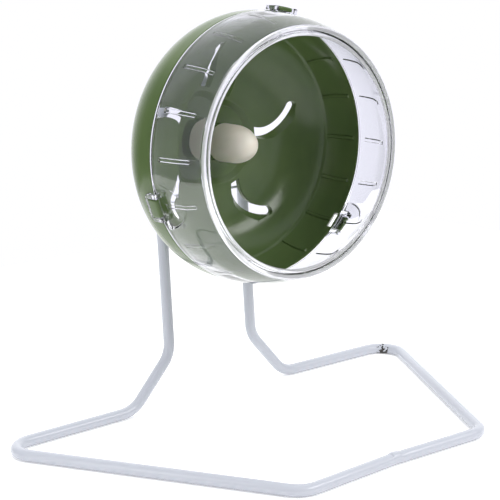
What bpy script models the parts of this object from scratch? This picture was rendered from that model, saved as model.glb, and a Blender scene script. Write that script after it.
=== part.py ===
"""Hamster exercise wheel on a bent rod stand.

A closed loop of powder coated steel rod lies on the table and rises behind the wheel as two legs
joined by an arch. A steel plate across the legs holds a hexagon bolt, and the wheel runs on that
bolt in two deep groove ball bearings. The wheel is an opaque bowl with curved vent slots and a
clear front ring, which snaps onto the bowl with three loops over three lugs. A hollow cap closes
the hub in front of the bolt's nut.

Lengths are in metres. X is to the right, Y goes from the open front to the back, Z is up, and the
floor is Z = 0. The stand's depths are counted backwards from the centre line of the front bar.
Stations are counted backwards along the axle from the seam between bowl and ring.
"""

import math

import bmesh
import bpy
from mathutils import Matrix, Vector

# Clearances that the pieces share
SEAT_GAP = 0.0003
SIDE_GAP = 0.0004
CUT_OVERRUN = 0.003
MERGE_DISTANCE = 0.00002

# Stand rod
ROD_DIAMETER = 0.005
FRONT_BAR_HALF = 0.0498
FRONT_BAR_DENT = 0.0023
WIDE_CORNER_HALF = 0.1165
WIDE_CORNER_DEPTH = 0.1233
FOOT_HALF = 0.044
FOOT_DEPTH = 0.125
LEG_HALF = 0.0237
LEG_DEPTH = 0.12385
LEG_BEND_HEIGHT = 0.0257
LEG_LEAN_SHARE = 0.039
LEG_DRAW_IN_SHARE = 0.0062
ARCH_START_OVER_HUB = 0.004
FRONT_CORNER_RADIUS = 0.010
WIDE_CORNER_RADIUS = 0.011
FOOT_BEND_RADIUS = 0.014
LEG_BEND_RADIUS = 0.014
WELD_BEAD_HALF = 0.0022
WELD_BEAD_RISE = 0.0006
WELD_BEAD_SHARES = (0.45, 1.0)

# Cross wire and axle plate
WIRE_DIAMETER = 0.0012
WIRE_UNDER_HUB = 0.0245
PLATE_HEIGHT = 0.018
PLATE_THICKNESS = 0.002
PLATE_CORNER_RADIUS = 0.003

# Wheel
HUB_HEIGHT = 0.1215
BOWL_RADIUS = 0.0585
BOWL_WALL = 0.0022
BOWL_DEPTH = 0.0306
BOWL_RIM_LENGTH = 0.0046
RUNNING_BAND_LENGTH = 0.018
RUNNING_BAND_STEP = 0.0004
RECESS_RADIUS = 0.019
RECESS_FLOOR_RADIUS = 0.0165
RECESS_DEPTH = 0.002

# Clear front ring
RING_LENGTH = 0.0278
RING_TAPER = 0.0058
LIP_THICKNESS = 0.0047
RING_WALL = 0.0020
WEDGE_LENGTH = 0.0125
RING_BULGE = 0.0013
LIP_ROUNDING = 0.0014
LIP_GROOVE_INSET = 0.0024
LIP_GROOVE_WIDTH = 0.0010
LIP_GROOVE_DEPTH = 0.0005

# Tread ribs on the inside of ring and bowl
RIB_COUNT = 18
RIB_PHASE_DEG = -2.0
RIB_WIDTH = 0.0015
RIB_RISE = 0.0008
RIB_ROOT = 0.0006
BOWL_RIB_START = 0.0030
RING_RIB_BACK = 0.0045
RING_RIB_FRONT = 0.0200
RING_RIB_RISE = 0.0005

# Vent slots, each with a bevel along its outer edge
SLOT_COUNT = 5
SLOT_CENTRE_OUT = 0.0248
SLOT_CENTRE_SIDE = 0.0180
SLOT_ARC_RADIUS = 0.0161
SLOT_WIDTH = 0.0040
SLOT_START_RADIUS = 0.0208
SLOT_END_DEG = -19.0
BEVEL_WIDTH = 0.0025
BEVEL_START_SHARE = 0.2
BEVEL_END_SHARE = 0.1
BEVEL_FULL_DEG = (-70.0, -35.0)

# Snap loops, lugs and finger scoops
CLIP_COUNT = 3
CLIP_PHASE_DEG = 78.0
LUG_WIDTH = 0.0074
LUG_RISE = 0.0021
LUG_BACK = 0.0020
LUG_OVERHANG = 0.0034
LUG_ROOT = 0.0006
LUG_CHAMFER = 0.0007
LOOP_ARM_WIDTH = 0.0021
LOOP_BACK = 0.0040
LOOP_BAR_LENGTH = 0.0016
LOOP_FOOT_FRONT = 0.0036
LOOP_FOOT_BACK = 0.0005
LOOP_FOOT_ROOT = 0.0019
SLIT_WIDTH = 0.0076
SLIT_LENGTH = 0.0026
SLIT_LEAN = 0.0017
SCOOP_HALF_WIDTH = 0.0105
SCOOP_LENGTH = 0.0155
SCOOP_DEPTH = 0.0008

# Ball bearings, two alike
BEARING_BORE = 0.005
BEARING_DIAMETER = 0.013
BEARING_WIDTH = 0.004
INNER_RING_DIAMETER = 0.0073
OUTER_RING_BORE = 0.0109
BALL_DIAMETER = 0.002
BALL_COUNT = 7
CAGE_THICKNESS = 0.0007
CAGE_RAIL = 0.0016
CAGE_BACKSET = 0.0002
SHIELD_THICKNESS = 0.00025
SHIELD_INSET = 0.00005

# Hub, bolt and what is clamped on it
HUB_DIAMETER = 0.0166
HUB_STAND = 0.0032
HUB_SHOULDER_LENGTH = 0.0012
HUB_SHOULDER_REACH = 0.0017
HUB_TO_PLATE = 0.00165
BOLT_HEAD_HEIGHT = 0.0035
BOLT_HEAD_FLATS = 0.008
BOLT_TIP_STAND = 0.0012
BOLT_TIP_CHAMFER = 0.0006
WASHER_DIAMETER = 0.0100
WASHER_THICKNESS = 0.0010
NUT_FLATS = 0.008
NUT_HEIGHT = 0.005
NUT_COLLAR_HEIGHT = 0.0016
INSERT_WALL = 0.0006

# Hub cap
CAP_LENGTH = 0.0209
CAP_DIAMETER = 0.0172
CAP_TAPER = 0.00015
CAP_NOSE_LENGTH = 0.013
CAP_WALL = 0.0014
CAP_SPIGOT_LENGTH = 0.0008
CAP_SPIGOT_WALL = 0.0014

# How finely round shapes are divided
ROD_SIDES = 12
BEND_STEP_DEG = 12.0
WHEEL_STEPS = 48
SMALL_STEPS = 24
CAP_STEPS = 30
FILLET_STEPS = 6
OUTER_FILLET_STEPS = 8
RIB_STEPS = 3
RING_STEPS = 6
WEDGE_STEPS = 2
NOSE_STEPS = 6
SLOT_STEPS = 10
BEVEL_STEPS = 12
SLOT_END_STEPS = 6
SCOOP_STEPS = 20
PLATE_CORNER_STEPS = 4
BALL_SEGMENTS = 8
BALL_RINGS = 6
POCKET_SEGMENTS = 10
CAGE_STEPS = 28
SMOOTH_ANGLE_DEG = 32.0

# Sizes that follow from the ones above
ROD_RADIUS = ROD_DIAMETER / 2
ROD_CORNER_RADIUS = ROD_RADIUS / math.cos(math.pi / ROD_SIDES)
BOWL_INNER_RADIUS = BOWL_RADIUS - BOWL_WALL
BOWL_CORNER_RADIUS = BOWL_DEPTH - BOWL_RIM_LENGTH
RING_FRONT_RADIUS = BOWL_RADIUS - RING_TAPER
RING_MOUTH_RADIUS = RING_FRONT_RADIUS - LIP_THICKNESS
LIP_GROOVE_RADIUS = RING_FRONT_RADIUS - LIP_GROOVE_INSET
CAP_RADIUS = CAP_DIAMETER / 2
HUB_RADIUS = HUB_DIAMETER / 2
POCKET_RADIUS = BEARING_DIAMETER / 2 + SEAT_GAP
BOLT_RADIUS = BEARING_BORE / 2
BORE_RADIUS = BOLT_RADIUS + SEAT_GAP
BALL_PITCH_RADIUS = (INNER_RING_DIAMETER + OUTER_RING_BORE) / 4

# Stations along the axle, counted backwards from the seam
HUB_FRONT = BOWL_DEPTH - HUB_STAND
FRONT_BEARING_FRONT = HUB_FRONT + CAP_SPIGOT_LENGTH + SEAT_GAP
FRONT_BEARING_BACK = FRONT_BEARING_FRONT + BEARING_WIDTH
SHOULDER_FRONT = FRONT_BEARING_BACK + SEAT_GAP
SHOULDER_BACK = SHOULDER_FRONT + HUB_SHOULDER_LENGTH
REAR_BEARING_FRONT = SHOULDER_BACK + SEAT_GAP
REAR_BEARING_BACK = REAR_BEARING_FRONT + BEARING_WIDTH
HUB_BACK = REAR_BEARING_BACK + SEAT_GAP
PLATE_FRONT = HUB_BACK + HUB_TO_PLATE
PLATE_BACK = PLATE_FRONT + PLATE_THICKNESS


def leg_behind(height):
    """How far behind the front bar the leaning legs are at a height."""
    return LEG_DEPTH + LEG_LEAN_SHARE * (height - LEG_BEND_HEIGHT)


def leg_half(height):
    """How far from the middle each leg is at a height, where the legs draw slightly together."""
    return LEG_HALF - LEG_DRAW_IN_SHARE * (height - LEG_BEND_HEIGHT)


# Places behind the front bar: the plate stands just in front of the legs at its lower edge
PLATE_BOTTOM_HEIGHT = HUB_HEIGHT - PLATE_HEIGHT / 2
PLATE_BACK_BEHIND = leg_behind(PLATE_BOTTOM_HEIGHT) - ROD_CORNER_RADIUS - SEAT_GAP
SEAM_BEHIND = PLATE_BACK_BEHIND - PLATE_BACK
ARCH_START_HEIGHT = HUB_HEIGHT + ARCH_START_OVER_HUB
WIRE_HEIGHT = HUB_HEIGHT - WIRE_UNDER_HUB
ARCH_RADIUS = leg_half(ARCH_START_HEIGHT)


# Scene helpers

def clear_scene():
    """Remove the objects that a new file starts with."""
    for item in list(bpy.data.objects):
        bpy.data.objects.remove(item, do_unlink=True)


def material(name, colour, roughness, metallic=0.0, alpha=1.0):
    """A Principled material in one colour."""
    made = bpy.data.materials.new(name)
    made.use_nodes = True
    shader = made.node_tree.nodes["Principled BSDF"]
    shader.inputs["Base Color"].default_value = (*colour, 1.0)
    shader.inputs["Roughness"].default_value = roughness
    shader.inputs["Metallic"].default_value = metallic
    shader.inputs["Alpha"].default_value = alpha
    made.diffuse_color = (*colour, alpha)
    return made


def add_object(name, bm, finish, parent=None):
    """Turn a bmesh into an object with smooth round faces, under its parent."""
    mesh = bpy.data.meshes.new(name)
    bm.to_mesh(mesh)
    bm.free()
    mesh.shade_smooth()
    mesh.set_sharp_from_angle(angle=math.radians(SMOOTH_ANGLE_DEG))
    made = bpy.data.objects.new(name, mesh)
    bpy.context.scene.collection.objects.link(made)
    if finish is not None:
        mesh.materials.append(finish)
    if parent is not None:
        made.parent = parent
    return made


def add_axis(name, place):
    """An empty on a joint's axis, which carries what turns there."""
    made = bpy.data.objects.new(name, None)
    made.location = place
    bpy.context.scene.collection.objects.link(made)
    return made


def add_tool(name, bm, parent):
    """A guide shape for a Boolean, left out of the object itself."""
    made = add_object(name, bm, None, parent)
    made.hide_render = True
    made.display_type = "WIRE"
    return made


def boolean(target, tool, operation, overlapping=False):
    """Unite the tool with the target, or cut it away."""
    change = target.modifiers.new(tool.name, "BOOLEAN")
    change.object = tool
    change.operation = operation
    change.solver = "EXACT"
    change.use_self = overlapping


# Shape helpers

def turned(profile, steps, closed=True):
    """Spin a profile of (radius, station) points round the axle, which lies along Y.

    A closed profile makes a ring. An open one starts and ends on the axle and makes a full body.
    """
    bm = bmesh.new()
    verts = [bm.verts.new((radius, station, 0.0)) for radius, station in profile]
    edges = [bm.edges.new(pair) for pair in zip(verts, verts[1:])]
    if closed:
        edges.append(bm.edges.new((verts[-1], verts[0])))
    bmesh.ops.spin(bm, geom=verts + edges, cent=(0, 0, 0), axis=(0, 1, 0),
                   angle=math.tau, steps=steps, use_merge=True)
    bmesh.ops.remove_doubles(bm, verts=bm.verts, dist=MERGE_DISTANCE)
    bmesh.ops.recalc_face_normals(bm, faces=bm.faces)
    return bm


def prism(bm, outline, low, high, place=None):
    """Add a closed prism: an outline in the plane of the first two axes, from low to high."""
    bottom = [bm.verts.new((a, b, low)) for a, b in outline]
    face = bm.faces.new(bottom)
    moved = bmesh.ops.extrude_face_region(bm, geom=[face])["geom"]
    top = [item for item in moved if isinstance(item, bmesh.types.BMVert)]
    bmesh.ops.translate(bm, verts=top, vec=(0, 0, high - low))
    if place is not None:
        bmesh.ops.transform(bm, matrix=place, verts=bottom + top)


def finish_tool(bm):
    """Point the faces of a guide's shells outwards."""
    bmesh.ops.recalc_face_normals(bm, faces=bm.faces)
    return bm


def box_outline(low_a, high_a, low_b, high_b):
    """Corners of a rectangle."""
    return [(low_a, low_b), (high_a, low_b), (high_a, high_b), (low_a, high_b)]


def arc(centre, radius, start_deg, end_deg, steps):
    """Points of an arc, both ends included."""
    points = []
    for index in range(steps + 1):
        angle = math.radians(start_deg + (end_deg - start_deg) * index / steps)
        points.append((centre[0] + radius * math.cos(angle), centre[1] + radius * math.sin(angle)))
    return points


def radial_frame(angle_deg):
    """Axes at an angle round the axle: along the wheel's rim, along the axle, and outwards."""
    angle = math.radians(angle_deg)
    outwards = Vector((math.cos(angle), 0, math.sin(angle)))
    along_axle = Vector((0, 1, 0))
    along_rim = along_axle.cross(outwards)
    return Matrix((along_rim, along_axle, outwards)).transposed().to_4x4()


def rib_frame(angle_deg):
    """Axes at an angle round the axle: outwards, along the axle, and along the rim."""
    angle = math.radians(angle_deg)
    outwards = Vector((math.cos(angle), 0, math.sin(angle)))
    along_axle = Vector((0, 1, 0))
    along_rim = outwards.cross(along_axle)
    return Matrix((outwards, along_axle, along_rim)).transposed().to_4x4()


def facing_frame(angle_deg):
    """Axes in the plate's plane at an angle round the axle, and the axle as the third."""
    angle = math.radians(angle_deg)
    out = Vector((math.cos(angle), 0, math.sin(angle)))
    side = Vector((-math.sin(angle), 0, math.cos(angle)))
    return Matrix((out, side, Vector((0, 1, 0)))).transposed().to_4x4()


def turns(count, phase_deg=0.0):
    """Evenly spread angles."""
    return [phase_deg + 360.0 * index / count for index in range(count)]


# Stand

def rounded_path(corners):
    """Points of a path through corners (place, bend radius), each corner rounded by an arc."""
    points = [corners[0][0]]
    for before, here, after in zip(corners, corners[1:], corners[2:]):
        place, radius = here
        incoming = (before[0] - place).normalized()
        outgoing = (after[0] - place).normalized()
        opening = incoming.angle(outgoing)
        turn = math.pi - opening
        middle = place + (incoming + outgoing).normalized() * (radius / math.sin(opening / 2))
        start = place + incoming * (radius / math.tan(opening / 2)) - middle
        axis = incoming.cross(outgoing)
        steps = max(2, round(math.degrees(turn) / BEND_STEP_DEG))
        for index in range(steps + 1):
            points.append(middle + Matrix.Rotation(-turn * index / steps, 3, axis) @ start)
    points.append(corners[-1][0])
    return points


def half_rod_path():
    """Centre line of one half of the stand, from the weld in the front bar to the arch's top."""
    floor = ROD_RADIUS
    corners = [
        (Vector((0, FRONT_BAR_DENT, floor)), 0),
        (Vector((FRONT_BAR_HALF, 0, floor)), FRONT_CORNER_RADIUS),
        (Vector((WIDE_CORNER_HALF, WIDE_CORNER_DEPTH, floor)), WIDE_CORNER_RADIUS),
        (Vector((FOOT_HALF, FOOT_DEPTH, floor)), FOOT_BEND_RADIUS),
        (Vector((LEG_HALF, LEG_DEPTH, LEG_BEND_HEIGHT)), LEG_BEND_RADIUS),
        (Vector((ARCH_RADIUS, leg_behind(ARCH_START_HEIGHT), ARCH_START_HEIGHT)), 0),
    ]
    points = rounded_path(corners)
    bead = [Vector((share * WELD_BEAD_HALF, FRONT_BAR_DENT, floor)) for share in WELD_BEAD_SHARES]
    points[1:1] = bead
    arch_steps = round(90 / BEND_STEP_DEG)
    for x, rise in arc((0, 0), ARCH_RADIUS, 0, 90, arch_steps)[1:]:
        height = ARCH_START_HEIGHT + rise
        points.append(Vector((x, leg_behind(height), height)))
    points[-1].x = 0
    return points


def middle_behind():
    """How far behind the front bar the middle of the whole stand is."""
    places = [point.y for point in half_rod_path()]
    return (min(places) + max(places)) / 2


MIDDLE_BEHIND = middle_behind()


def world_y(behind):
    """Y of a place behind the front bar, with the origin under the middle of the whole object."""
    return behind - MIDDLE_BEHIND


def rod_rings(points):
    """A ring of corners round each point of the half path, flat side down on the floor."""
    rings = []
    sideways = Vector((0, 1, 0))
    for index, point in enumerate(points):
        if index == 0:
            tangent = Vector((1, 0, 0))
        elif index == len(points) - 1:
            tangent = Vector((-1, 0, 0))
        else:
            before = (point - points[index - 1]).normalized()
            after = (points[index + 1] - point).normalized()
            tangent = (before + after).normalized()
        sideways = (sideways - tangent * sideways.dot(tangent)).normalized()
        upwards = tangent.cross(sideways)
        ring = []
        for side in range(ROD_SIDES):
            angle = math.tau * (side + 0.5) / ROD_SIDES
            reach = ROD_CORNER_RADIUS
            bead_share = max(0.0, 1 - abs(point.x) / WELD_BEAD_HALF) if index < 3 else 0.0
            reach += WELD_BEAD_RISE * math.sqrt(bead_share) * max(0.0, math.sin(angle))
            ring.append(point + (sideways * math.cos(angle) + upwards * math.sin(angle)) * reach)
        rings.append(ring)
    return rings


def stand_rod(finish):
    """The closed rod loop: one half swept along its path, and its mirror image."""
    rings = rod_rings(half_rod_path())
    mirrored = [[Vector((-p.x, p.y, p.z)) for p in ring] for ring in rings[-2:0:-1]]
    bm = bmesh.new()
    loops = [[bm.verts.new((p.x, world_y(p.y), p.z)) for p in ring] for ring in rings + mirrored]
    for index, ring in enumerate(loops):
        following = loops[(index + 1) % len(loops)]
        for side in range(ROD_SIDES):
            beside = (side + 1) % ROD_SIDES
            bm.faces.new((ring[side], ring[beside], following[beside], following[side]))
    bmesh.ops.recalc_face_normals(bm, faces=bm.faces)
    return add_object("stand_rod", bm, finish)


def cross_wire(finish):
    """A thin wire between the legs, under the bowl's hub."""
    half = leg_half(WIRE_HEIGHT) - ROD_CORNER_RADIUS - SEAT_GAP
    bm = bmesh.new()
    bmesh.ops.create_cone(bm, cap_ends=True, segments=ROD_SIDES, radius1=WIRE_DIAMETER / 2,
                          radius2=WIRE_DIAMETER / 2, depth=2 * half)
    made = add_object("cross_wire", bm, finish)
    made.rotation_euler = (0, math.radians(90), 0)
    made.location = (0, world_y(leg_behind(WIRE_HEIGHT)), WIRE_HEIGHT)
    return made


def axle_plate(finish):
    """A steel plate across both legs with the bolt's hole."""
    half = leg_half(HUB_HEIGHT) + ROD_RADIUS
    inset = PLATE_CORNER_RADIUS
    outline = []
    for side_x, side_z, start in ((1, 1, 0), (-1, 1, 90), (-1, -1, 180), (1, -1, 270)):
        centre = (side_x * (half - inset), side_z * (PLATE_HEIGHT / 2 - inset))
        outline += arc(centre, inset, start, start + 90, PLATE_CORNER_STEPS)
    bm = bmesh.new()
    prism(bm, outline, PLATE_FRONT, PLATE_BACK, facing_frame(0))
    plate = add_object("axle_plate", finish_tool(bm), finish)
    plate.location = (0, world_y(SEAM_BEHIND), HUB_HEIGHT)
    hole = bmesh.new()
    outline = arc((0, 0), BORE_RADIUS, 0, 360, SMALL_STEPS)[:-1]
    prism(hole, outline, PLATE_FRONT - CUT_OVERRUN, PLATE_BACK + CUT_OVERRUN, facing_frame(0))
    tool = add_tool("axle_plate_hole", finish_tool(hole), plate)
    boolean(plate, tool, "DIFFERENCE")
    return plate


# Bowl

def bowl_profile():
    """Half section of the bowl: its inside from rim to hub, then the hub and the back."""
    corner = BOWL_DEPTH - BOWL_CORNER_RADIUS
    centre = (BOWL_INNER_RADIUS - BOWL_CORNER_RADIUS, corner)
    band_angle = math.degrees(math.asin((RUNNING_BAND_LENGTH - corner) / BOWL_CORNER_RADIUS))
    outer_radius = BOWL_CORNER_RADIUS + BOWL_WALL
    shoulder_radius = POCKET_RADIUS - HUB_SHOULDER_REACH
    inside = [(BOWL_RADIUS, 0), (BOWL_INNER_RADIUS, 0)]
    inside += arc(centre, BOWL_CORNER_RADIUS, 0, band_angle, FILLET_STEPS // 2)
    stepped = BOWL_CORNER_RADIUS - RUNNING_BAND_STEP
    beyond = arc(centre, stepped, band_angle, 90, FILLET_STEPS)
    inside += beyond[:-1]
    inside.append((centre[0], BOWL_DEPTH))
    inside.append((RECESS_RADIUS, BOWL_DEPTH))
    inside.append((RECESS_FLOOR_RADIUS, BOWL_DEPTH + RECESS_DEPTH))
    inside.append((HUB_RADIUS, BOWL_DEPTH + RECESS_DEPTH))
    hub = [(HUB_RADIUS, HUB_FRONT), (POCKET_RADIUS, HUB_FRONT)]
    hub += [(POCKET_RADIUS, SHOULDER_FRONT), (shoulder_radius, SHOULDER_FRONT)]
    hub += [(shoulder_radius, SHOULDER_BACK), (POCKET_RADIUS, SHOULDER_BACK)]
    hub += [(POCKET_RADIUS, HUB_BACK), (HUB_RADIUS, HUB_BACK)]
    floor_back = BOWL_DEPTH + RECESS_DEPTH + BOWL_WALL
    back = [(HUB_RADIUS, floor_back), (RECESS_FLOOR_RADIUS + BOWL_WALL, floor_back)]
    back.append((RECESS_RADIUS + BOWL_WALL, BOWL_DEPTH + BOWL_WALL))
    back += arc(centre, outer_radius, 90, 0, OUTER_FILLET_STEPS)
    return inside + hub + back


def slot_start_deg(radius):
    """Angle on the slot's own arcs where one of them leaves the circle round the hub."""
    away = math.hypot(SLOT_CENTRE_OUT, SLOT_CENTRE_SIDE)
    turned_by = math.atan2(SLOT_CENTRE_SIDE, SLOT_CENTRE_OUT)
    cosine = (SLOT_START_RADIUS ** 2 - away ** 2 - radius ** 2) / (2 * away * radius)
    return math.degrees(turned_by - math.acos(cosine))


def slot_outline():
    """A vent slot in the plate's plane: an arc band that starts on a circle round the hub."""
    centre = (SLOT_CENTRE_OUT, SLOT_CENTRE_SIDE)
    far = SLOT_ARC_RADIUS + SLOT_WIDTH / 2
    near = SLOT_ARC_RADIUS - SLOT_WIDTH / 2
    outer = arc(centre, far, slot_start_deg(far), SLOT_END_DEG, SLOT_STEPS)
    inner = arc(centre, near, SLOT_END_DEG, slot_start_deg(near), SLOT_STEPS)
    tip = arc((0, 0), SLOT_ARC_RADIUS, SLOT_END_DEG, SLOT_END_DEG, 1)[0]
    tip_centre = (centre[0] + tip[0], centre[1] + tip[1])
    end = arc(tip_centre, SLOT_WIDTH / 2, SLOT_END_DEG, SLOT_END_DEG + 180, SLOT_END_STEPS)[1:-1]
    return outer + end + inner


def inner_station(radius):
    """Station of the bowl's inside at a distance from the axle: flat, then round towards the rim."""
    beyond = radius - (BOWL_INNER_RADIUS - BOWL_CORNER_RADIUS)
    drop = BOWL_CORNER_RADIUS - math.sqrt(BOWL_CORNER_RADIUS ** 2 - max(0.0, beyond) ** 2)
    return BOWL_DEPTH - drop


def bevel_width(angle_deg, start_deg):
    """Width of the bevel: a crescent that is widest over the middle of the slot."""
    full_from, full_to = BEVEL_FULL_DEG
    rising = BEVEL_START_SHARE + (1 - BEVEL_START_SHARE) * (angle_deg - start_deg) / (full_from - start_deg)
    falling = BEVEL_END_SHARE + (1 - BEVEL_END_SHARE) * (SLOT_END_DEG - angle_deg) / (SLOT_END_DEG - full_to)
    return BEVEL_WIDTH * min(1.0, rising, falling)


def bevel_sections():
    """Cross sections, along the slot's arc, of what the bevel takes away beside the slot."""
    inner = SLOT_ARC_RADIUS
    edge = SLOT_ARC_RADIUS + SLOT_WIDTH / 2
    start_deg = slot_start_deg(edge)
    sections = []
    for index in range(BEVEL_STEPS + 1):
        angle_deg = start_deg + (SLOT_END_DEG - start_deg) * index / BEVEL_STEPS
        x, z = math.cos(math.radians(angle_deg)), math.sin(math.radians(angle_deg))
        width = bevel_width(angle_deg, start_deg) * (1 + CUT_OVERRUN / BOWL_WALL)
        rim = math.hypot(SLOT_CENTRE_OUT + edge * x, SLOT_CENTRE_SIDE + edge * z)
        face = inner_station(rim)
        corners = [(inner, face - CUT_OVERRUN), (edge + width, face - CUT_OVERRUN),
                   (edge, face + BOWL_WALL), (inner, face + BOWL_WALL)]
        sections.append([Vector((SLOT_CENTRE_OUT + radius * x, SLOT_CENTRE_SIDE + radius * z, station))
                         for radius, station in corners])
    return sections


def skinned(bm, sections, place):
    """Add a closed shape that joins the sections in order."""
    rings = [[bm.verts.new(place @ point) for point in section] for section in sections]
    for ring, following in zip(rings, rings[1:]):
        for index in range(len(ring)):
            beside = (index + 1) % len(ring)
            bm.faces.new((ring[index], ring[beside], following[beside], following[index]))
    bm.faces.new(rings[0])
    bm.faces.new(rings[-1])


def bowl_rib_outline():
    """Side view of a tread rib that follows the bowl's running band into the corner."""
    corner = BOWL_DEPTH - BOWL_CORNER_RADIUS
    centre = (BOWL_INNER_RADIUS - BOWL_CORNER_RADIUS, corner)
    end = math.degrees(math.asin((RUNNING_BAND_LENGTH - corner) / BOWL_CORNER_RADIUS))
    rooted = arc(centre, BOWL_CORNER_RADIUS + RIB_ROOT, end, 0, RIB_STEPS)
    raised = arc(centre, BOWL_CORNER_RADIUS - RIB_RISE, 0, end, RIB_STEPS)
    root = [(BOWL_INNER_RADIUS + RIB_ROOT, BOWL_RIB_START)]
    top = [(BOWL_INNER_RADIUS - RIB_RISE, BOWL_RIB_START)]
    return rooted + root + top + raised


def lug_outline():
    """Side view of a lug: rooted in the bowl, overhanging the clear ring's edge."""
    root = BOWL_RADIUS - LUG_ROOT
    top = BOWL_RADIUS + LUG_RISE
    under = BOWL_RADIUS + SEAT_GAP
    return [(root, LUG_ROOT), (under, LUG_ROOT), (under, -LUG_OVERHANG),
            (top - LUG_CHAMFER, -LUG_OVERHANG), (top, -LUG_OVERHANG + LUG_CHAMFER),
            (top, LUG_BACK), (root, LUG_BACK)]


def slit_outline():
    """Side view of the slit behind a lug, which leans back on its way out through the wall."""
    lean = SLIT_LEAN / BOWL_WALL
    outside = LUG_BACK + SIDE_GAP
    low, high = BOWL_INNER_RADIUS - CUT_OVERRUN, BOWL_RADIUS + CUT_OVERRUN
    low_front = outside - lean * (BOWL_RADIUS - low)
    high_front = outside + lean * CUT_OVERRUN
    return [(low, low_front), (high, high_front), (high, high_front + SLIT_LENGTH),
            (low, low_front + SLIT_LENGTH)]


def wheel_bowl(finish, axis):
    """The opaque bowl with its hub, ribs, lugs, bevelled vent slots and clip slits."""
    bowl = add_object("wheel_bowl", turned(bowl_profile(), WHEEL_STEPS), finish, axis)
    added = bmesh.new()
    for angle in turns(RIB_COUNT, RIB_PHASE_DEG):
        prism(added, bowl_rib_outline(), -RIB_WIDTH / 2, RIB_WIDTH / 2, rib_frame(angle))
    for angle in turns(CLIP_COUNT, CLIP_PHASE_DEG):
        prism(added, lug_outline(), -LUG_WIDTH / 2, LUG_WIDTH / 2, rib_frame(angle))
    cut = bmesh.new()
    bevels = bmesh.new()
    for angle in turns(SLOT_COUNT):
        low = inner_station(SLOT_CENTRE_OUT + SLOT_CENTRE_SIDE) - CUT_OVERRUN
        prism(cut, slot_outline(), low, BOWL_DEPTH + BOWL_WALL + CUT_OVERRUN, facing_frame(angle))
        skinned(bevels, bevel_sections(), facing_frame(angle))
    for angle in turns(CLIP_COUNT, CLIP_PHASE_DEG):
        prism(cut, slit_outline(), -SLIT_WIDTH / 2, SLIT_WIDTH / 2, rib_frame(angle))
    boolean(bowl, add_tool("wheel_bowl_added", finish_tool(added), axis), "UNION")
    boolean(bowl, add_tool("wheel_bowl_bevels", finish_tool(bevels), axis), "DIFFERENCE")
    boolean(bowl, add_tool("wheel_bowl_cut", finish_tool(cut), axis), "DIFFERENCE")
    return bowl


# Clear ring

def ring_outer_radius(station):
    """Outer radius of the clear ring at a station between its lip and the seam."""
    share = (station + RING_LENGTH) / RING_LENGTH
    straight = RING_FRONT_RADIUS + (BOWL_RADIUS - RING_FRONT_RADIUS) * share
    return straight + RING_BULGE * 4 * share * (1 - share)


def ring_wall(station):
    """Thickness of the clear ring: thin from the seam to the wedge, and thicker towards the lip."""
    from_lip = station + RING_LENGTH
    if from_lip < WEDGE_LENGTH:
        share = (WEDGE_LENGTH - from_lip) / (WEDGE_LENGTH - LIP_ROUNDING)
        return RING_WALL + (LIP_THICKNESS - RING_WALL) * share
    share = (from_lip - WEDGE_LENGTH) / (RING_LENGTH - WEDGE_LENGTH)
    return RING_WALL + (BOWL_WALL - RING_WALL) * share


def ring_inner_radius(station):
    """Inner radius of the clear ring."""
    return ring_outer_radius(station) - ring_wall(station)


def ring_inner_stations():
    """Stations of the inside: even steps along the wedge, and even steps from there to the seam."""
    front = LIP_ROUNDING - RING_LENGTH
    bend = WEDGE_LENGTH - RING_LENGTH
    wedge = [front + (bend - front) * index / WEDGE_STEPS for index in range(WEDGE_STEPS)]
    return wedge + [bend * (1 - index / WEDGE_STEPS) for index in range(WEDGE_STEPS + 1)]


def ring_profile():
    """Half section of the clear ring: outside, grooved lip, inside and the edge that meets the bowl."""
    lip = -RING_LENGTH
    wall_length = RING_LENGTH - LIP_ROUNDING
    stations = [wall_length * (index / RING_STEPS - 1) for index in range(RING_STEPS + 1)]
    outside = [(ring_outer_radius(s), s) for s in reversed(stations)]
    half = LIP_GROOVE_WIDTH / 2
    face = [(RING_FRONT_RADIUS - LIP_ROUNDING, lip), (LIP_GROOVE_RADIUS + half, lip),
            (LIP_GROOVE_RADIUS + half, lip + LIP_GROOVE_DEPTH),
            (LIP_GROOVE_RADIUS - half, lip + LIP_GROOVE_DEPTH),
            (LIP_GROOVE_RADIUS - half, lip), (RING_MOUTH_RADIUS + LIP_ROUNDING / 2, lip)]
    inside = [(ring_inner_radius(s), s) for s in ring_inner_stations()]
    outside[0] = (BOWL_RADIUS, -SEAT_GAP)
    inside[-1] = (BOWL_INNER_RADIUS, -SEAT_GAP)
    return outside + face + inside


def ring_rib_outline():
    """Side view of a tread rib on the clear ring's inside, which bends with the wall."""
    stations = [-RING_RIB_BACK, WEDGE_LENGTH - RING_LENGTH, -RING_RIB_FRONT]
    raised = [(ring_inner_radius(s) - RING_RIB_RISE, s) for s in stations]
    rooted = [(ring_inner_radius(s) + RIB_ROOT, s) for s in reversed(stations)]
    return raised + rooted


def loop_outline():
    """A snap loop seen from outside: two arms and a bar behind the lug."""
    inner = LUG_WIDTH / 2 + SIDE_GAP
    outer = inner + LOOP_ARM_WIDTH
    bar = LOOP_BACK - LOOP_BAR_LENGTH
    front = -LOOP_FOOT_FRONT
    return [(-outer, front), (-inner, front), (-inner, bar), (inner, bar), (inner, front),
            (outer, front), (outer, LOOP_BACK), (-outer, LOOP_BACK)]


def scoop_outline():
    """A finger scoop seen from outside: half an ellipse that ends past the seam."""
    points = []
    for index in range(SCOOP_STEPS):
        angle = math.tau * index / SCOOP_STEPS
        points.append((SCOOP_HALF_WIDTH * math.cos(angle), SCOOP_LENGTH * math.sin(angle)))
    return points


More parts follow.
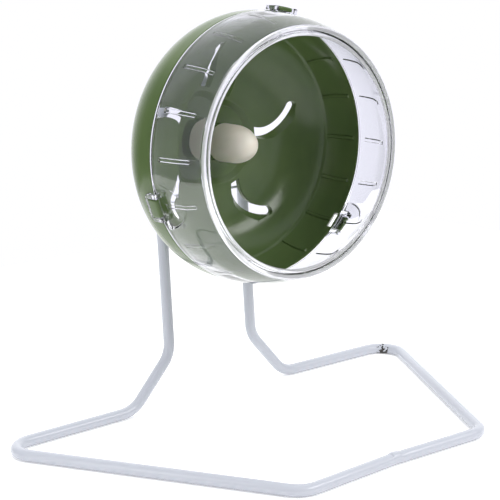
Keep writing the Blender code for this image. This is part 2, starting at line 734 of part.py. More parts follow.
def scoop_frame(angle_deg):
    """Axes of a scoop: its floor is flat and tilted like the ring's outside."""
    drop = ring_outer_radius(0) - ring_outer_radius(-SCOOP_LENGTH)
    tilt = math.atan2(drop, SCOOP_LENGTH)
    lift = Matrix.Translation((0, 0, BOWL_RADIUS - SCOOP_DEPTH))
    return radial_frame(angle_deg) @ lift @ Matrix.Rotation(tilt, 4, "X")


def clear_ring(finish, axis):
    """The clear ring with its ribs, scoops and snap loops."""
    ring = add_object("clear_ring", turned(ring_profile(), WHEEL_STEPS), finish, axis)
    cut = bmesh.new()
    for angle in turns(CLIP_COUNT, CLIP_PHASE_DEG):
        prism(cut, scoop_outline(), 0, CUT_OVERRUN + SCOOP_DEPTH, scoop_frame(angle))
    added = bmesh.new()
    for angle in turns(RIB_COUNT, RIB_PHASE_DEG):
        prism(added, ring_rib_outline(), -RIB_WIDTH / 2, RIB_WIDTH / 2, rib_frame(angle))
    under = BOWL_RADIUS + SEAT_GAP
    top = BOWL_RADIUS + LUG_RISE
    inner = LUG_WIDTH / 2 + SIDE_GAP
    for angle in turns(CLIP_COUNT, CLIP_PHASE_DEG):
        prism(added, loop_outline(), under, top, radial_frame(angle))
        for side in (-1, 1):
            near, far = sorted((side * inner, side * (inner + LOOP_ARM_WIDTH)))
            foot = box_outline(near, far, -LOOP_FOOT_FRONT, -LOOP_FOOT_BACK)
            prism(added, foot, BOWL_RADIUS - LOOP_FOOT_ROOT, top, radial_frame(angle))
    boolean(ring, add_tool("clear_ring_cut", finish_tool(cut), axis), "DIFFERENCE")
    boolean(ring, add_tool("clear_ring_added", finish_tool(added), axis), "UNION", overlapping=True)
    return ring


# Hub cap

def cap_profile():
    """Half section of the hollow cap: nose, outside, spigot and inside."""
    base = HUB_FRONT - SEAT_GAP
    nose = base - CAP_LENGTH
    shoulder = nose + CAP_NOSE_LENGTH
    nose_radius = CAP_RADIUS - CAP_TAPER
    outside = []
    for index in range(NOSE_STEPS + 1):
        angle = math.radians(90) * index / NOSE_STEPS
        outside.append((nose_radius * math.sin(angle), shoulder - CAP_NOSE_LENGTH * math.cos(angle)))
    spigot_radius = POCKET_RADIUS - SEAT_GAP
    spigot_end = base + CAP_SPIGOT_LENGTH
    spigot_inner = spigot_radius - CAP_SPIGOT_WALL
    outside += [(CAP_RADIUS, base), (spigot_radius, base), (spigot_radius, spigot_end)]
    outside += [(spigot_inner, spigot_end), (spigot_inner, base - CAP_WALL)]
    hollow_radius = nose_radius - CAP_WALL
    hollow_length = CAP_NOSE_LENGTH - CAP_WALL
    inside = [(hollow_radius, base - CAP_WALL)]
    for index in range(NOSE_STEPS, -1, -1):
        angle = math.radians(90) * index / NOSE_STEPS
        inside.append((hollow_radius * math.sin(angle), shoulder - hollow_length * math.cos(angle)))
    return outside + inside


def hub_cap(finish, axis):
    """The bullet shaped cap in front of the hub."""
    return add_object("hub_cap", turned(cap_profile(), CAP_STEPS, closed=False), finish, axis)


# Bearings and what is clamped on the bolt

def sleeve(name, inner, outer, front, back, finish, parent, steps=SMALL_STEPS):
    """A plain ring between two stations."""
    profile = [(inner, front), (outer, front), (outer, back), (inner, back)]
    return add_object(name, turned(profile, steps), finish, parent)


def race_points(radius, groove_radius, half):
    """The ball side of a bearing ring, with a round groove for the balls."""
    reach = abs(radius - groove_radius)
    width = BALL_DIAMETER / 2
    groove = [(radius, -width), (groove_radius, reach - width),
              (groove_radius, width - reach), (radius, width)]
    return [(radius, -half)] + groove + [(radius, half)]


def inner_race(name, finish, parent):
    """The bearing ring that the bolt clamps."""
    half = BEARING_WIDTH / 2
    groove = BALL_PITCH_RADIUS - BALL_DIAMETER / 2 - SEAT_GAP
    profile = [(BORE_RADIUS, half), (BORE_RADIUS, -half)]
    profile += race_points(INNER_RING_DIAMETER / 2, groove, half)
    return add_object(name, turned(profile, SMALL_STEPS), finish, parent)


def outer_race(name, finish, parent):
    """The bearing ring that sits in the hub's pocket."""
    half = BEARING_WIDTH / 2
    groove = BALL_PITCH_RADIUS + BALL_DIAMETER / 2 + SEAT_GAP
    profile = [(BEARING_DIAMETER / 2, half), (BEARING_DIAMETER / 2, -half)]
    profile += race_points(OUTER_RING_BORE / 2, groove, half)
    return add_object(name, turned(profile, SMALL_STEPS), finish, parent)


def ball_places():
    """Centres of the balls round the axle."""
    places = []
    for angle in turns(BALL_COUNT):
        turn = math.radians(angle)
        places.append(Vector((math.cos(turn), 0, math.sin(turn))) * BALL_PITCH_RADIUS)
    return places


def ball_set(prefix, finish, parent):
    """The balls of one bearing, each a body of its own, from one shared mesh."""
    bm = bmesh.new()
    bmesh.ops.create_uvsphere(bm, u_segments=BALL_SEGMENTS, v_segments=BALL_RINGS,
                              radius=BALL_DIAMETER / 2)
    places = ball_places()
    first = add_object(prefix + "_bearing_ball_1", bm, finish, parent)
    first.location = places[0]
    for number, place in enumerate(places[1:], start=2):
        ball = bpy.data.objects.new(f"{prefix}_bearing_ball_{number}", first.data)
        ball.parent = parent
        ball.location = place
        bpy.context.scene.collection.objects.link(ball)


def ball_cage(name, finish, parent, side):
    """A crown cage: a ring on one side of the balls, with a pocket round each ball."""
    inner = BALL_PITCH_RADIUS - CAGE_THICKNESS / 2
    outer = BALL_PITCH_RADIUS + CAGE_THICKNESS / 2
    profile = [(inner, -side * CAGE_BACKSET), (outer, -side * CAGE_BACKSET),
               (outer, side * CAGE_RAIL), (inner, side * CAGE_RAIL)]
    cage = add_object(name, turned(profile, CAGE_STEPS), finish, parent)
    bm = bmesh.new()
    for place in ball_places():
        bmesh.ops.create_uvsphere(bm, u_segments=POCKET_SEGMENTS, v_segments=BALL_RINGS,
                                  radius=BALL_DIAMETER / 2 + SEAT_GAP, matrix=Matrix.Translation(place))
    boolean(cage, add_tool(name + "_pockets", bm, parent), "DIFFERENCE")
    return cage


def shield(name, side, finish, parent):
    """A thin cover on one face of a bearing."""
    inner = INNER_RING_DIAMETER / 2 + SEAT_GAP
    outer = OUTER_RING_BORE / 2 - SEAT_GAP
    face = BEARING_WIDTH / 2 - SHIELD_INSET
    near, far = sorted((side * face, side * (face - SHIELD_THICKNESS)))
    return sleeve(name, inner, outer, near, far, finish, parent)


def bearing(prefix, station, finishes, fixed, turning, side):
    """One ball bearing: its fixed ring, its turning ring and shields, and its balls and cage."""
    steel, shield_steel, cage_plastic = finishes
    rolling = add_axis(prefix + "_bearing_roll_axis", (0, station, 0))
    rolling.parent = turning
    pieces = [
        inner_race(prefix + "_bearing_inner_ring", steel, fixed),
        outer_race(prefix + "_bearing_outer_ring", steel, turning),
        shield(prefix + "_bearing_front_shield", -1, shield_steel, turning),
        shield(prefix + "_bearing_rear_shield", 1, shield_steel, turning),
    ]
    for piece in pieces:
        piece.location = (0, station, 0)
    ball_set(prefix, steel, rolling)
    ball_cage(prefix + "_bearing_cage", cage_plastic, rolling, side)


def hexagon(flats):
    """Outline of a hexagon by its width across flats."""
    return arc((0, 0), flats / 2 / math.cos(math.radians(30)), 0, 360, 6)[:-1]


def axle_bolt(finish, axis):
    """The hexagon bolt from behind the plate to inside the cap."""
    head_front = PLATE_BACK + WASHER_THICKNESS + 2 * SEAT_GAP
    tip = nut_front() - BOLT_TIP_STAND
    radius = BOLT_RADIUS
    profile = [(0, tip), (radius - BOLT_TIP_CHAMFER, tip), (radius, tip + BOLT_TIP_CHAMFER)]
    profile += [(radius, head_front + BOLT_TIP_CHAMFER), (0, head_front + BOLT_TIP_CHAMFER)]
    bolt = add_object("axle_bolt", turned(profile, SMALL_STEPS, closed=False), finish, axis)
    bm = bmesh.new()
    prism(bm, hexagon(BOLT_HEAD_FLATS), head_front, head_front + BOLT_HEAD_HEIGHT, facing_frame(0))
    boolean(bolt, add_tool("axle_bolt_head", finish_tool(bm), axis), "UNION")
    return bolt


def nut_back():
    """Station of the lock nut's seat on the front washer."""
    return FRONT_BEARING_FRONT - WASHER_THICKNESS - 2 * SEAT_GAP


def nut_front():
    """Station of the lock nut's front."""
    return nut_back() - NUT_HEIGHT


def lock_nut(finish, axis):
    """A hexagon nut with a counterbore for its plastic insert."""
    bm = bmesh.new()
    prism(bm, hexagon(NUT_FLATS), nut_front(), nut_back(), facing_frame(0))
    nut = add_object("lock_nut", finish_tool(bm), finish, axis)
    counterbore = BORE_RADIUS + INSERT_WALL + SEAT_GAP
    insert_back = nut_front() + NUT_COLLAR_HEIGHT
    profile = [(0, nut_front() - CUT_OVERRUN), (counterbore, nut_front() - CUT_OVERRUN),
               (counterbore, insert_back), (BORE_RADIUS, insert_back),
               (BORE_RADIUS, nut_back() + CUT_OVERRUN), (0, nut_back() + CUT_OVERRUN)]
    bore = turned(profile, SMALL_STEPS, closed=False)
    boolean(nut, add_tool("lock_nut_bore", bore, axis), "DIFFERENCE")
    return nut


def clamped_stack(steel, plastic, axis):
    """Washers, spacers and the nut's insert, from behind the plate to the nut."""
    washer_front = PLATE_BACK + SEAT_GAP
    sleeve("head_washer", BORE_RADIUS, WASHER_DIAMETER / 2, washer_front,
           washer_front + WASHER_THICKNESS, steel, axis)
    ring_radius = INNER_RING_DIAMETER / 2
    sleeve("rear_spacer", BORE_RADIUS, ring_radius, REAR_BEARING_BACK + SEAT_GAP,
           PLATE_FRONT - SEAT_GAP, steel, axis)
    sleeve("bearing_spacer", BORE_RADIUS, ring_radius, FRONT_BEARING_BACK + SEAT_GAP,
           REAR_BEARING_FRONT - SEAT_GAP, steel, axis)
    sleeve("front_washer", BORE_RADIUS, ring_radius,
           nut_back() + SEAT_GAP, FRONT_BEARING_FRONT - SEAT_GAP, steel, axis)
    sleeve("lock_nut_insert", BORE_RADIUS, BORE_RADIUS + INSERT_WALL,
           nut_front() + SEAT_GAP, nut_front() + NUT_COLLAR_HEIGHT - SEAT_GAP, plastic, axis)


def build():
    """Make every piece and hang it on its axis."""
    clear_scene()
    coated = material("powder_coated_steel", (0.72, 0.73, 0.78), 0.35)
    green = material("green_abs", (0.080, 0.125, 0.052), 0.22)
    clear = material("clear_polystyrene", (0.90, 0.90, 0.96), 0.06, alpha=0.35)
    cream = material("cream_abs", (0.66, 0.62, 0.56), 0.45)
    steel = material("zinc_plated_steel", (0.62, 0.62, 0.60), 0.3, metallic=1.0)
    bright = material("bearing_steel", (0.70, 0.70, 0.70), 0.15, metallic=1.0)
    nylon = material("nylon", (0.55, 0.58, 0.60), 0.5)

    hub_place = (0, world_y(SEAM_BEHIND), HUB_HEIGHT)
    fixed = add_axis("axle_axis", hub_place)
    turning = add_axis("wheel_axis", hub_place)

    stand_rod(coated)
    cross_wire(coated)
    axle_plate(coated)
    axle_bolt(steel, fixed)
    clamped_stack(steel, nylon, fixed)
    lock_nut(steel, fixed)

    finishes = (bright, steel, nylon)
    front_centre = (FRONT_BEARING_FRONT + FRONT_BEARING_BACK) / 2
    rear_centre = (REAR_BEARING_FRONT + REAR_BEARING_BACK) / 2
    bearing("front", front_centre, finishes, fixed, turning, -1)
    bearing("rear", rear_centre, finishes, fixed, turning, 1)

    wheel_bowl(green, turning)
    clear_ring(clear, turning)
    hub_cap(cream, turning)
    bpy.context.view_layer.update()


build()
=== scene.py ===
# %% [markdown]
# # A hamster wheel on a bent rod stand
# The real one is a loop of white coated steel rod, a green moulded bowl with vent slots, and a
# clear moulded ring that snaps onto the bowl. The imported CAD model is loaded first. It fixes where
# each piece goes, and what follows only makes the pieces finer and gives them their finish.

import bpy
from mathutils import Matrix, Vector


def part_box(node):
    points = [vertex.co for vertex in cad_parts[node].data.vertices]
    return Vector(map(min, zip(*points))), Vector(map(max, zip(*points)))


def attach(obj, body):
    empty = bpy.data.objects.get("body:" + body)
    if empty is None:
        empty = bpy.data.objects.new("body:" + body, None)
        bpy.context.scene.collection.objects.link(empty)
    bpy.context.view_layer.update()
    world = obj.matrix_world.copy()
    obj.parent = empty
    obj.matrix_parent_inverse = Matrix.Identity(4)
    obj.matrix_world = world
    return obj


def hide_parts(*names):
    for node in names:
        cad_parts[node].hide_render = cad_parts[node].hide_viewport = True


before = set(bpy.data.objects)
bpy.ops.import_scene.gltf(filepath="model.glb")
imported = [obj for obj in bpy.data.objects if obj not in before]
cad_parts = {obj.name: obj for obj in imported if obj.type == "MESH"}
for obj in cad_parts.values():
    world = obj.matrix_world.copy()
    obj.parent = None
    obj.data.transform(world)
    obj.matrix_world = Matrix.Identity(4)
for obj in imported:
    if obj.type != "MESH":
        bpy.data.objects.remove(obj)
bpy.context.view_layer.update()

# %% Tools and units
import math

import bmesh
import bpy
import numpy as np
from mathutils import Matrix, Vector

MM = 0.001
BUILD_PLACE = bpy.context.scene.collection

# %% [markdown]
# ## The wheel's own coordinates
# Everything on the wheel is round, so its points are worked out as a radius from the axle, a
# station along it and an angle round it. Stations are counted backwards from the seam between the
# clear ring and the bowl, as someone would measure them with a depth gauge.

# %% The axle and the seam
RING_LENGTH = 27.8 * MM
cap_low, cap_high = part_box("hub_cap")
AXLE_HEIGHT = (cap_low.z + cap_high.z) / 2
SEAM_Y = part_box("clear_ring")[0].y + RING_LENGTH
print(f"axle {AXLE_HEIGHT / MM:.1f} mm up, seam at Y {SEAM_Y / MM:.2f} mm")


def on_wheel(radius, station, angle):
    """Places in the part's frame: the radius turned by the angle in the XZ plane round the axle."""
    radius, station, angle = np.broadcast_arrays(radius, station, angle)
    return np.stack([radius * np.cos(angle), SEAM_Y + station,
                     AXLE_HEIGHT + radius * np.sin(angle)], axis=-1)


def closing_row(row):
    """A row of equal points in the middle of a row, which closes an end there."""
    return np.broadcast_to(row.mean(axis=0), row.shape)[None]


def eased(value):
    """From 0 to 1 with soft ends: three times the square less twice the cube."""
    value = np.clip(value, 0.0, 1.0)
    return value * value * (3 - 2 * value)


# %% [markdown]
# ## Surfaces from grids
# A new piece is a grid of points: rows along one parameter, columns along the other. Neighbouring
# points make a quad, and a grid that closes on itself both ways is a watertight skin. The volume
# that the quads enclose tells whether they face outwards: where it is negative they are turned.

# %% Grid to mesh
def grid_quads(rows, columns, close_rows):
    """Corner numbers of the quads between neighbouring rows and columns; each row is a loop."""
    row, column = np.meshgrid(np.arange(rows - (not close_rows)), np.arange(columns),
                              indexing="ij")
    next_row, next_column = (row + 1) % rows, (column + 1) % columns
    return np.stack([row * columns + column, row * columns + next_column,
                     next_row * columns + next_column, next_row * columns + column],
                    axis=-1).reshape(-1, 4)


def outwards(points, quads):
    """The quads, turned round if the volume under them, a sum of triple products, is negative."""
    a, b, c, d = (points[quads[:, corner]] for corner in range(4))
    volume = np.einsum("ij,ij->", a, np.cross(b, c)) + np.einsum("ij,ij->", a, np.cross(c, d))
    return quads if volume > 0 else quads[:, ::-1]


# %% Piece from a grid
SHARP_ANGLE = math.radians(38)
SAME_POINT = 0.002 * MM


def smooth_with_edges(mesh):
    """Smooth shading that keeps the edges crisp."""
    mesh.shade_smooth()
    mesh.set_sharp_from_angle(angle=SHARP_ANGLE)


def piece_from_grid(name, grid, close_rows=True):
    """A closed piece from a grid of points; rows that shrink to one point close the ends."""
    rows, columns = grid.shape[:2]
    points = grid.reshape(-1, 3)
    quads = outwards(points, grid_quads(rows, columns, close_rows))
    mesh = bpy.data.meshes.new(name)
    mesh.from_pydata(points.tolist(), [], quads.tolist())
    bm = bmesh.new()
    bm.from_mesh(mesh)
    bmesh.ops.remove_doubles(bm, verts=bm.verts, dist=SAME_POINT)
    bm.to_mesh(mesh)
    bm.free()
    smooth_with_edges(mesh)
    made = bpy.data.objects.new(name, mesh)
    BUILD_PLACE.objects.link(made)
    return made


# %% [markdown]
# ### Cutting and joining
# Slots, lugs and loops meet the walls at odd angles. Each is made as a closed tool, and Blender's
# exact Boolean cuts it away or joins it on, which leaves the walls closed.

# %% Cut and join
def combine(target, tools, operation):
    """Cut the tools away from the target or join them on, and keep only the result."""
    for tool in tools:
        change = target.modifiers.new(tool.name, "BOOLEAN")
        change.object, change.operation, change.solver = tool, operation, "EXACT"
    bpy.context.view_layer.update()
    finished = target.evaluated_get(bpy.context.evaluated_depsgraph_get())
    mesh = bpy.data.meshes.new_from_object(finished)
    target.modifiers.clear()
    target.data = mesh
    for tool in tools:
        bpy.data.objects.remove(tool, do_unlink=True)
    smooth_with_edges(mesh)


# %% [markdown]
# ### Rounded corners
# A moulded piece has no knife edges, and a bent rod has no corners. Both start here from a few
# straight runs, and each corner between two runs becomes an arc that touches them both.

# %% Outlines and paths with rounded corners
ARC_STEP_DEG = 3.0


def rounded(corners, closed=False, steps=4):
    """Points of an outline or path whose corners are (coordinates, radius of the corner's arc).

    The points of an arc are the directions in which it touches its two sides, blended by the sines
    of the angles that are left and done. Without steps an arc has a point every three degrees.
    """
    spots = np.array([corner[:-1] for corner in corners])
    points = []
    for index, (here, radius) in enumerate(zip(spots, (corner[-1] for corner in corners))):
        inner = closed or 0 < index < len(spots) - 1
        if not radius or not inner:
            points.append(here)
            continue
        back = spots[index - 1] - here
        ahead = spots[(index + 1) % len(spots)] - here
        back, ahead = back / np.linalg.norm(back), ahead / np.linalg.norm(ahead)
        half = math.acos(np.clip(back @ ahead, -1, 1)) / 2
        centre = here + (back + ahead) / np.linalg.norm(back + ahead) * radius / math.sin(half)
        first = here + back * radius / math.tan(half) - centre
        last = here + ahead * radius / math.tan(half) - centre
        turn = math.pi - 2 * half
        count = steps + 1 if steps else max(3, round(math.degrees(turn) / ARC_STEP_DEG))
        share = np.linspace(0, 1, count)[:, None]
        points.extend(centre + (np.sin((1 - share) * turn) * first + np.sin(share * turn) * last)
                      / math.sin(turn))
    return np.array(points)


def angles_round(centres_deg, offsets_deg, step_deg):
    """Angles round the wheel in radians: closer ones about each centre, and even ones elsewhere."""
    close = (np.asarray(centres_deg)[:, None] + np.asarray(offsets_deg)[None, :]).ravel() % 360
    close = np.unique(np.round(close, 3))
    even = np.arange(0, 360, step_deg)
    apart = np.abs((even[:, None] - close[None, :] + 180) % 360 - 180).min(axis=1)
    return np.radians(np.sort(np.concatenate([close, even[apart > step_deg * 0.4]])))


# %% [markdown]
# ## Materials
# A finish starts from what the real one is made of and how its surface came about. One function
# adds a node with its values and links, and one turns the colours from sRGB hex values to the
# linear light that Blender works in. Patterns are sized in millimetres on Object coordinates.

# %% Colours and nodes
def linear(hex_colour):
    """An sRGB hex colour as linear red, green, blue and alpha."""
    values = np.array([int(hex_colour[place:place + 2], 16) for place in (1, 3, 5)]) / 255
    light = np.where(values <= 0.04045, values / 12.92, ((values + 0.055) / 1.055) ** 2.4)
    return (*light.tolist(), 1.0)


def per_metre(millimetres):
    """Texture scale that makes one cell of a pattern so many millimetres wide."""
    return 1 / (millimetres * MM)


def feed(tree, node, sockets):
    """Set a node's sockets to values, or link them from outputs or from nodes' first outputs."""
    for socket, value in sockets.items():
        if isinstance(value, bpy.types.Node):
            value = value.outputs[0]
        if isinstance(value, bpy.types.NodeSocket):
            tree.links.new(value, node.inputs[socket])
        else:
            node.inputs[socket].default_value = value


def add(tree, kind, sockets=None, **settings):
    """Add a shader node of a kind: settings are its properties, sockets are what it is fed."""
    node = tree.nodes.new("ShaderNode" + kind)
    for name, value in settings.items():
        setattr(node, name, value)
    feed(tree, node, sockets or {})
    return node


def start_finish(name, colour, roughness, **constants):
    """A material with its shader's constants set; returns it, its tree, shader and coordinates."""
    print(f"finish {name}: {colour}, roughness about {roughness}")
    made = bpy.data.materials.new(name)
    made.use_nodes = True
    tree = made.node_tree
    shader = tree.nodes["Principled BSDF"]
    feed(tree, shader, {"Base Color": linear(colour), "Roughness": roughness})
    feed(tree, shader, {socket.replace("_", " "): value for socket, value in constants.items()})
    place = add(tree, "TexCoord").outputs["Object"]
    return made, tree, shader, place


# %% [markdown]
# ### Green ABS, injection moulded in a polished mould
# The bowl is solid coloured ABS. A polished mould leaves a gloss with very slight waves, and a
# running animal leaves fine scratches round the running band. The colour drifts a little where
# the melt cooled at different rates.

# %% Green ABS
def green_abs():
    made, tree, shader, place = start_finish("polished_green_abs", "#51633b", 0.14, IOR=1.53,
                                             Specular_IOR_Level=0.32)
    drift = add(tree, "TexNoise", {"Vector": place, "Scale": per_metre(28), "Detail": 2.0})
    tone = add(tree, "ValToRGB", {"Fac": drift})
    tone.color_ramp.elements[0].position, tone.color_ramp.elements[0].color = 0.3, linear("#4d6038")
    tone.color_ramp.elements[1].position, tone.color_ramp.elements[1].color = 0.7, linear("#55673d")
    # Scratches run round the wheel: long cells in X and Z and short ones along the axle. Real ones
    # are a few hundredths of a millimetre wide and are drawn ten times coarser here.
    stretched = add(tree, "Mapping", {"Vector": place, "Scale": (1, 16, 1)})
    scratches = add(tree, "TexNoise", {"Vector": stretched, "Scale": per_metre(6), "Detail": 3.0})
    gloss = add(tree, "MapRange", {"Value": scratches, "From Min": 0.35, "From Max": 0.75,
                                   "To Min": 0.16, "To Max": 0.26})
    waves = add(tree, "TexNoise", {"Vector": place, "Scale": per_metre(9), "Detail": 1.0})
    relief = add(tree, "Bump", {"Height": waves, "Strength": 0.35, "Distance": 0.02 * MM})
    feed(tree, shader, {"Base Color": tone, "Roughness": gloss, "Normal": relief})
    return made


GREEN = green_abs()

# %% [markdown]
# ### Clear polystyrene, injection moulded
# The ring is general purpose polystyrene, which bends light strongly (IOR 1.59) and has a faint
# cool tint in thick places. Its walls have a real thickness here, so the bright and dark lines
# along its edges come from refraction and aren't painted. Faint scuffs run round the wheel.

# %% Clear polystyrene
def clear_polystyrene():
    made, tree, shader, place = start_finish(
        "clear_moulded_polystyrene", "#f9f9ff", 0.03, IOR=1.59, Transmission_Weight=1.0)
    stretched = add(tree, "Mapping", {"Vector": place, "Scale": (1, 9, 1)})
    scuffs = add(tree, "TexNoise", {"Vector": stretched, "Scale": per_metre(5), "Detail": 4.0})
    haze = add(tree, "MapRange", {"Value": scuffs, "From Min": 0.45, "From Max": 0.8,
                                  "To Min": 0.012, "To Max": 0.06})
    waves = add(tree, "TexNoise", {"Vector": place, "Scale": per_metre(14), "Detail": 1.0})
    relief = add(tree, "Bump", {"Height": waves, "Strength": 0.4, "Distance": 0.03 * MM})
    feed(tree, shader, {"Roughness": haze, "Normal": relief})
    return made


CLEAR = clear_polystyrene()

# %% [markdown]
# ### The same polystyrene, rougher and painted pale at the lip
# The front of the lip is rougher than the walls, and it is made paler: it scatters part of the light
# that meets it, which a lower transmission weight gives. The paleness is painted light, standing in
# for the bright light that the lip catches and bends.

# %% Clear polystyrene, matted
def matt_painted_pale_lip():
    # Painted light: a transmission weight of 0.62 makes the lip scatter white, so it looks pale
    made, tree, shader, place = start_finish(
        "clear_polystyrene_lip_matt_painted_pale", "#fafaff", 0.16, IOR=1.59, Transmission_Weight=0.62)
    scuffs = add(tree, "TexNoise", {"Vector": place, "Scale": per_metre(3), "Detail": 4.0})
    haze = add(tree, "MapRange", {"Value": scuffs, "From Min": 0.35, "From Max": 0.7,
                                  "To Min": 0.08, "To Max": 0.22})
    feed(tree, shader, {"Roughness": haze})
    return made


LIP_MATT_PAINTED_PALE = matt_painted_pale_lip()

# %% [markdown]
# ### Cream ABS with a satin mould texture
# The hub cap comes from a finely blasted mould, so its gloss is soft and spread out. A little
# light enters the plastic and softens the shade.

# %% Cream ABS
def cream_abs():
    made, tree, shader, place = start_finish("satin_cream_abs", "#d9d4ca", 0.42, IOR=1.53,
                                             Subsurface_Weight=0.08, Subsurface_Scale=1.5 * MM)
    grain = add(tree, "TexNoise", {"Vector": place, "Scale": per_metre(0.5), "Detail": 2.0})
    relief = add(tree, "Bump", {"Height": grain, "Strength": 0.25, "Distance": 0.02 * MM})
    drift = add(tree, "TexNoise", {"Vector": place, "Scale": per_metre(7), "Detail": 2.0})
    tone = add(tree, "ValToRGB", {"Fac": drift})
    tone.color_ramp.elements[0].color, tone.color_ramp.elements[1].color = (
        linear("#d3ccbc"), linear("#dfdacd"))
    feed(tree, shader, {"Base Color": tone, "Normal": relief})
    return made


CREAM = cream_abs()

# %% [markdown]
# ### Powder coated steel
# The stand and the axle plate are sprayed with polyester powder and baked. The skin is smooth with
# a faint orange peel about a millimetre across. The coat is white, but against a bright floor it
# reads as a cool pale grey, so its hex value is grey: painted shade in the base colour. A knock near
# a back corner has chipped it to the steel.

# %% Powder coat
# Painted shade: the coat's base colour is grey, though the real coat is white
COAT_SHADED_GREY, STEEL_COLOUR = "#b6b9c2", "#2b2826"
CHIP_PLACE = (0.1065, 0.0550, 0.0018)
CHIP_REACH = 4.7 * MM


def powder_coat():
    made, tree, shader, place = start_finish("coat_baked_white", COAT_SHADED_GREY, 0.22, IOR=1.5)
    peel = add(tree, "TexNoise", {"Vector": place, "Scale": per_metre(1.3), "Detail": 2.0})
    relief = add(tree, "Bump", {"Height": peel, "Strength": 0.5, "Distance": 0.04 * MM})
    # The chip: a distance from its middle, broken up by flakes about a millimetre wide
    away = add(tree, "VectorMath", {0: place, 1: CHIP_PLACE}, operation="DISTANCE")
    flakes = add(tree, "TexNoise", {"Vector": place, "Scale": per_metre(1.4), "Detail": 3.0})
    ragged = add(tree, "Math", {0: flakes, 1: 2.2 * CHIP_REACH, 2: away.outputs["Value"]},
                 operation="MULTIPLY_ADD")
    bare = add(tree, "MapRange", {"Value": ragged, "From Min": 1.75 * CHIP_REACH,
                                  "From Max": 1.65 * CHIP_REACH, "To Min": 0.0, "To Max": 1.0})
    tone = add(tree, "ValToRGB", {"Fac": bare})
    tone.color_ramp.elements[0].color, tone.color_ramp.elements[1].color = (
        linear(COAT_SHADED_GREY), linear(STEEL_COLOUR))
    feed(tree, shader, {"Base Color": tone, "Normal": relief})
    return made


COATED = powder_coat()

# %% [markdown]
# ### Bright metals and nylon
# Bolt, nut and washers are zinc plated: pale grey with a blue cast and a slightly cloudy gloss.
# Bearing rings and balls are ground steel, which is nearly a mirror. The nut's collar insert and
# the ball cages are milky nylon. Metals keep Blender's default IOR.

# %% Metals and nylon
def cloudy_metal(name, colour, roughness, cloud_mm):
    """A plated or ground metal whose gloss varies in soft clouds of the given size."""
    made, tree, shader, place = start_finish(name, colour, roughness, Metallic=1.0)
    clouds = add(tree, "TexNoise", {"Vector": place, "Scale": per_metre(cloud_mm), "Detail": 3.0})
    gloss = add(tree, "MapRange",
                {"Value": clouds, "To Min": roughness * 0.7, "To Max": roughness * 1.4})
    feed(tree, shader, {"Roughness": gloss})
    return made


def milky_nylon():
    made, tree, shader, place = start_finish("milky_nylon_natural", "#e6e3d8", 0.45, IOR=1.53,
                                             Subsurface_Weight=0.2, Subsurface_Scale=0.8 * MM)
    grain = add(tree, "TexNoise", {"Vector": place, "Scale": per_metre(0.4)})
    relief = add(tree, "Bump", {"Height": grain, "Strength": 0.2, "Distance": 0.01 * MM})
    feed(tree, shader, {"Normal": relief})
    return made


ZINC = cloudy_metal("zinc_plate_cloudy", "#b9bec4", 0.28, 2.0)
GROUND = cloudy_metal("ground_steel_bright", "#c9cbce", 0.12, 1.0)
NYLON = milky_nylon()

# %% [markdown]
# ## Handing over a piece
# A finished piece gets its material, rides on a body so that it moves with it, and replaces a
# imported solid.

# %% Hand over a piece
def finish_piece(piece, finish, body, node):
    """Give a piece its material, its body and the CAD node that it stands for."""
    piece.data.materials.clear()
    piece.data.materials.append(finish)
    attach(piece, body)
    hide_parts(node)
    triangles = sum(len(face.vertices) - 2 for face in piece.data.polygons)
    print(f"{piece.name}: {triangles} triangles")


# %% [markdown]
# ## The bowl
# The real bowl is one moulding. Its half section is an outline from the rim down the running band,
# round the corner, over the floor and the hub and back along the outside. Turned round the axle it
# makes a closed skin. The tread ribs are part of the same grid: where a rib runs, the inside is
# lifted along its normal by a soft-edged step, so no extra pieces are needed.

# %% Bowl sizes
BOWL_RADIUS, BOWL_WALL, BOWL_DEPTH = 58.5 * MM, 2.2 * MM, 30.6 * MM
BOWL_INSIDE = BOWL_RADIUS - BOWL_WALL
RIM_LENGTH, BAND_LENGTH = 4.6 * MM, 18.0 * MM
CORNER_RADIUS = BOWL_DEPTH - RIM_LENGTH
CORNER_CENTRE = BOWL_INSIDE - CORNER_RADIUS
BAND_STEP, STEP_TURN = 0.3 * MM, 0.06
BAND_ANGLE = math.asin((BAND_LENGTH - RIM_LENGTH) / CORNER_RADIUS)
RIB_ANGLES = [20.0 * index - 2.0 for index in range(18)]
RIB_HALF, RIB_RISE, RIB_EDGE = 0.75 * MM, 0.7 * MM, 0.5 * MM
HUB_RADIUS, POCKET_RADIUS, SHOULDER_RADIUS = 8.3 * MM, 6.8 * MM, 5.1 * MM
HUB_FRONT, HUB_BACK = 27.4 * MM, 38.6 * MM
SHOULDER_FRONT, SHOULDER_BACK = 32.8 * MM, 34.0 * MM
RECESS_FLOOR = BOWL_DEPTH + 2.0 * MM
RECESS_EDGE, RECESS_FOOT = 19.0 * MM, 16.5 * MM
print(f"bowl: {BOWL_RADIUS / MM:.1f} mm in radius, {len(RIB_ANGLES)} ribs")

# %% Section of the bowl
def inside_reach(turn):
    """Distance of the bowl's inside from the corner's centre line, at a turn from the wall.

    The running band has the full radius. Past it the surface steps in, and runs out level with the
    flat floor.
    """
    past = eased((turn - BAND_ANGLE + STEP_TURN / 2) / STEP_TURN)
    level = ((turn - BAND_ANGLE) / (math.pi / 2 - BAND_ANGLE)).clip(0) ** 2
    return CORNER_RADIUS - BAND_STEP * past * (1 - level)


def corner_points(turns, reach):
    """Places (radius, station) round the bowl's corner: reach along each turn from its centre."""
    return np.stack([CORNER_CENTRE + reach * np.cos(turns), RIM_LENGTH + reach * np.sin(turns)],
                    axis=-1)


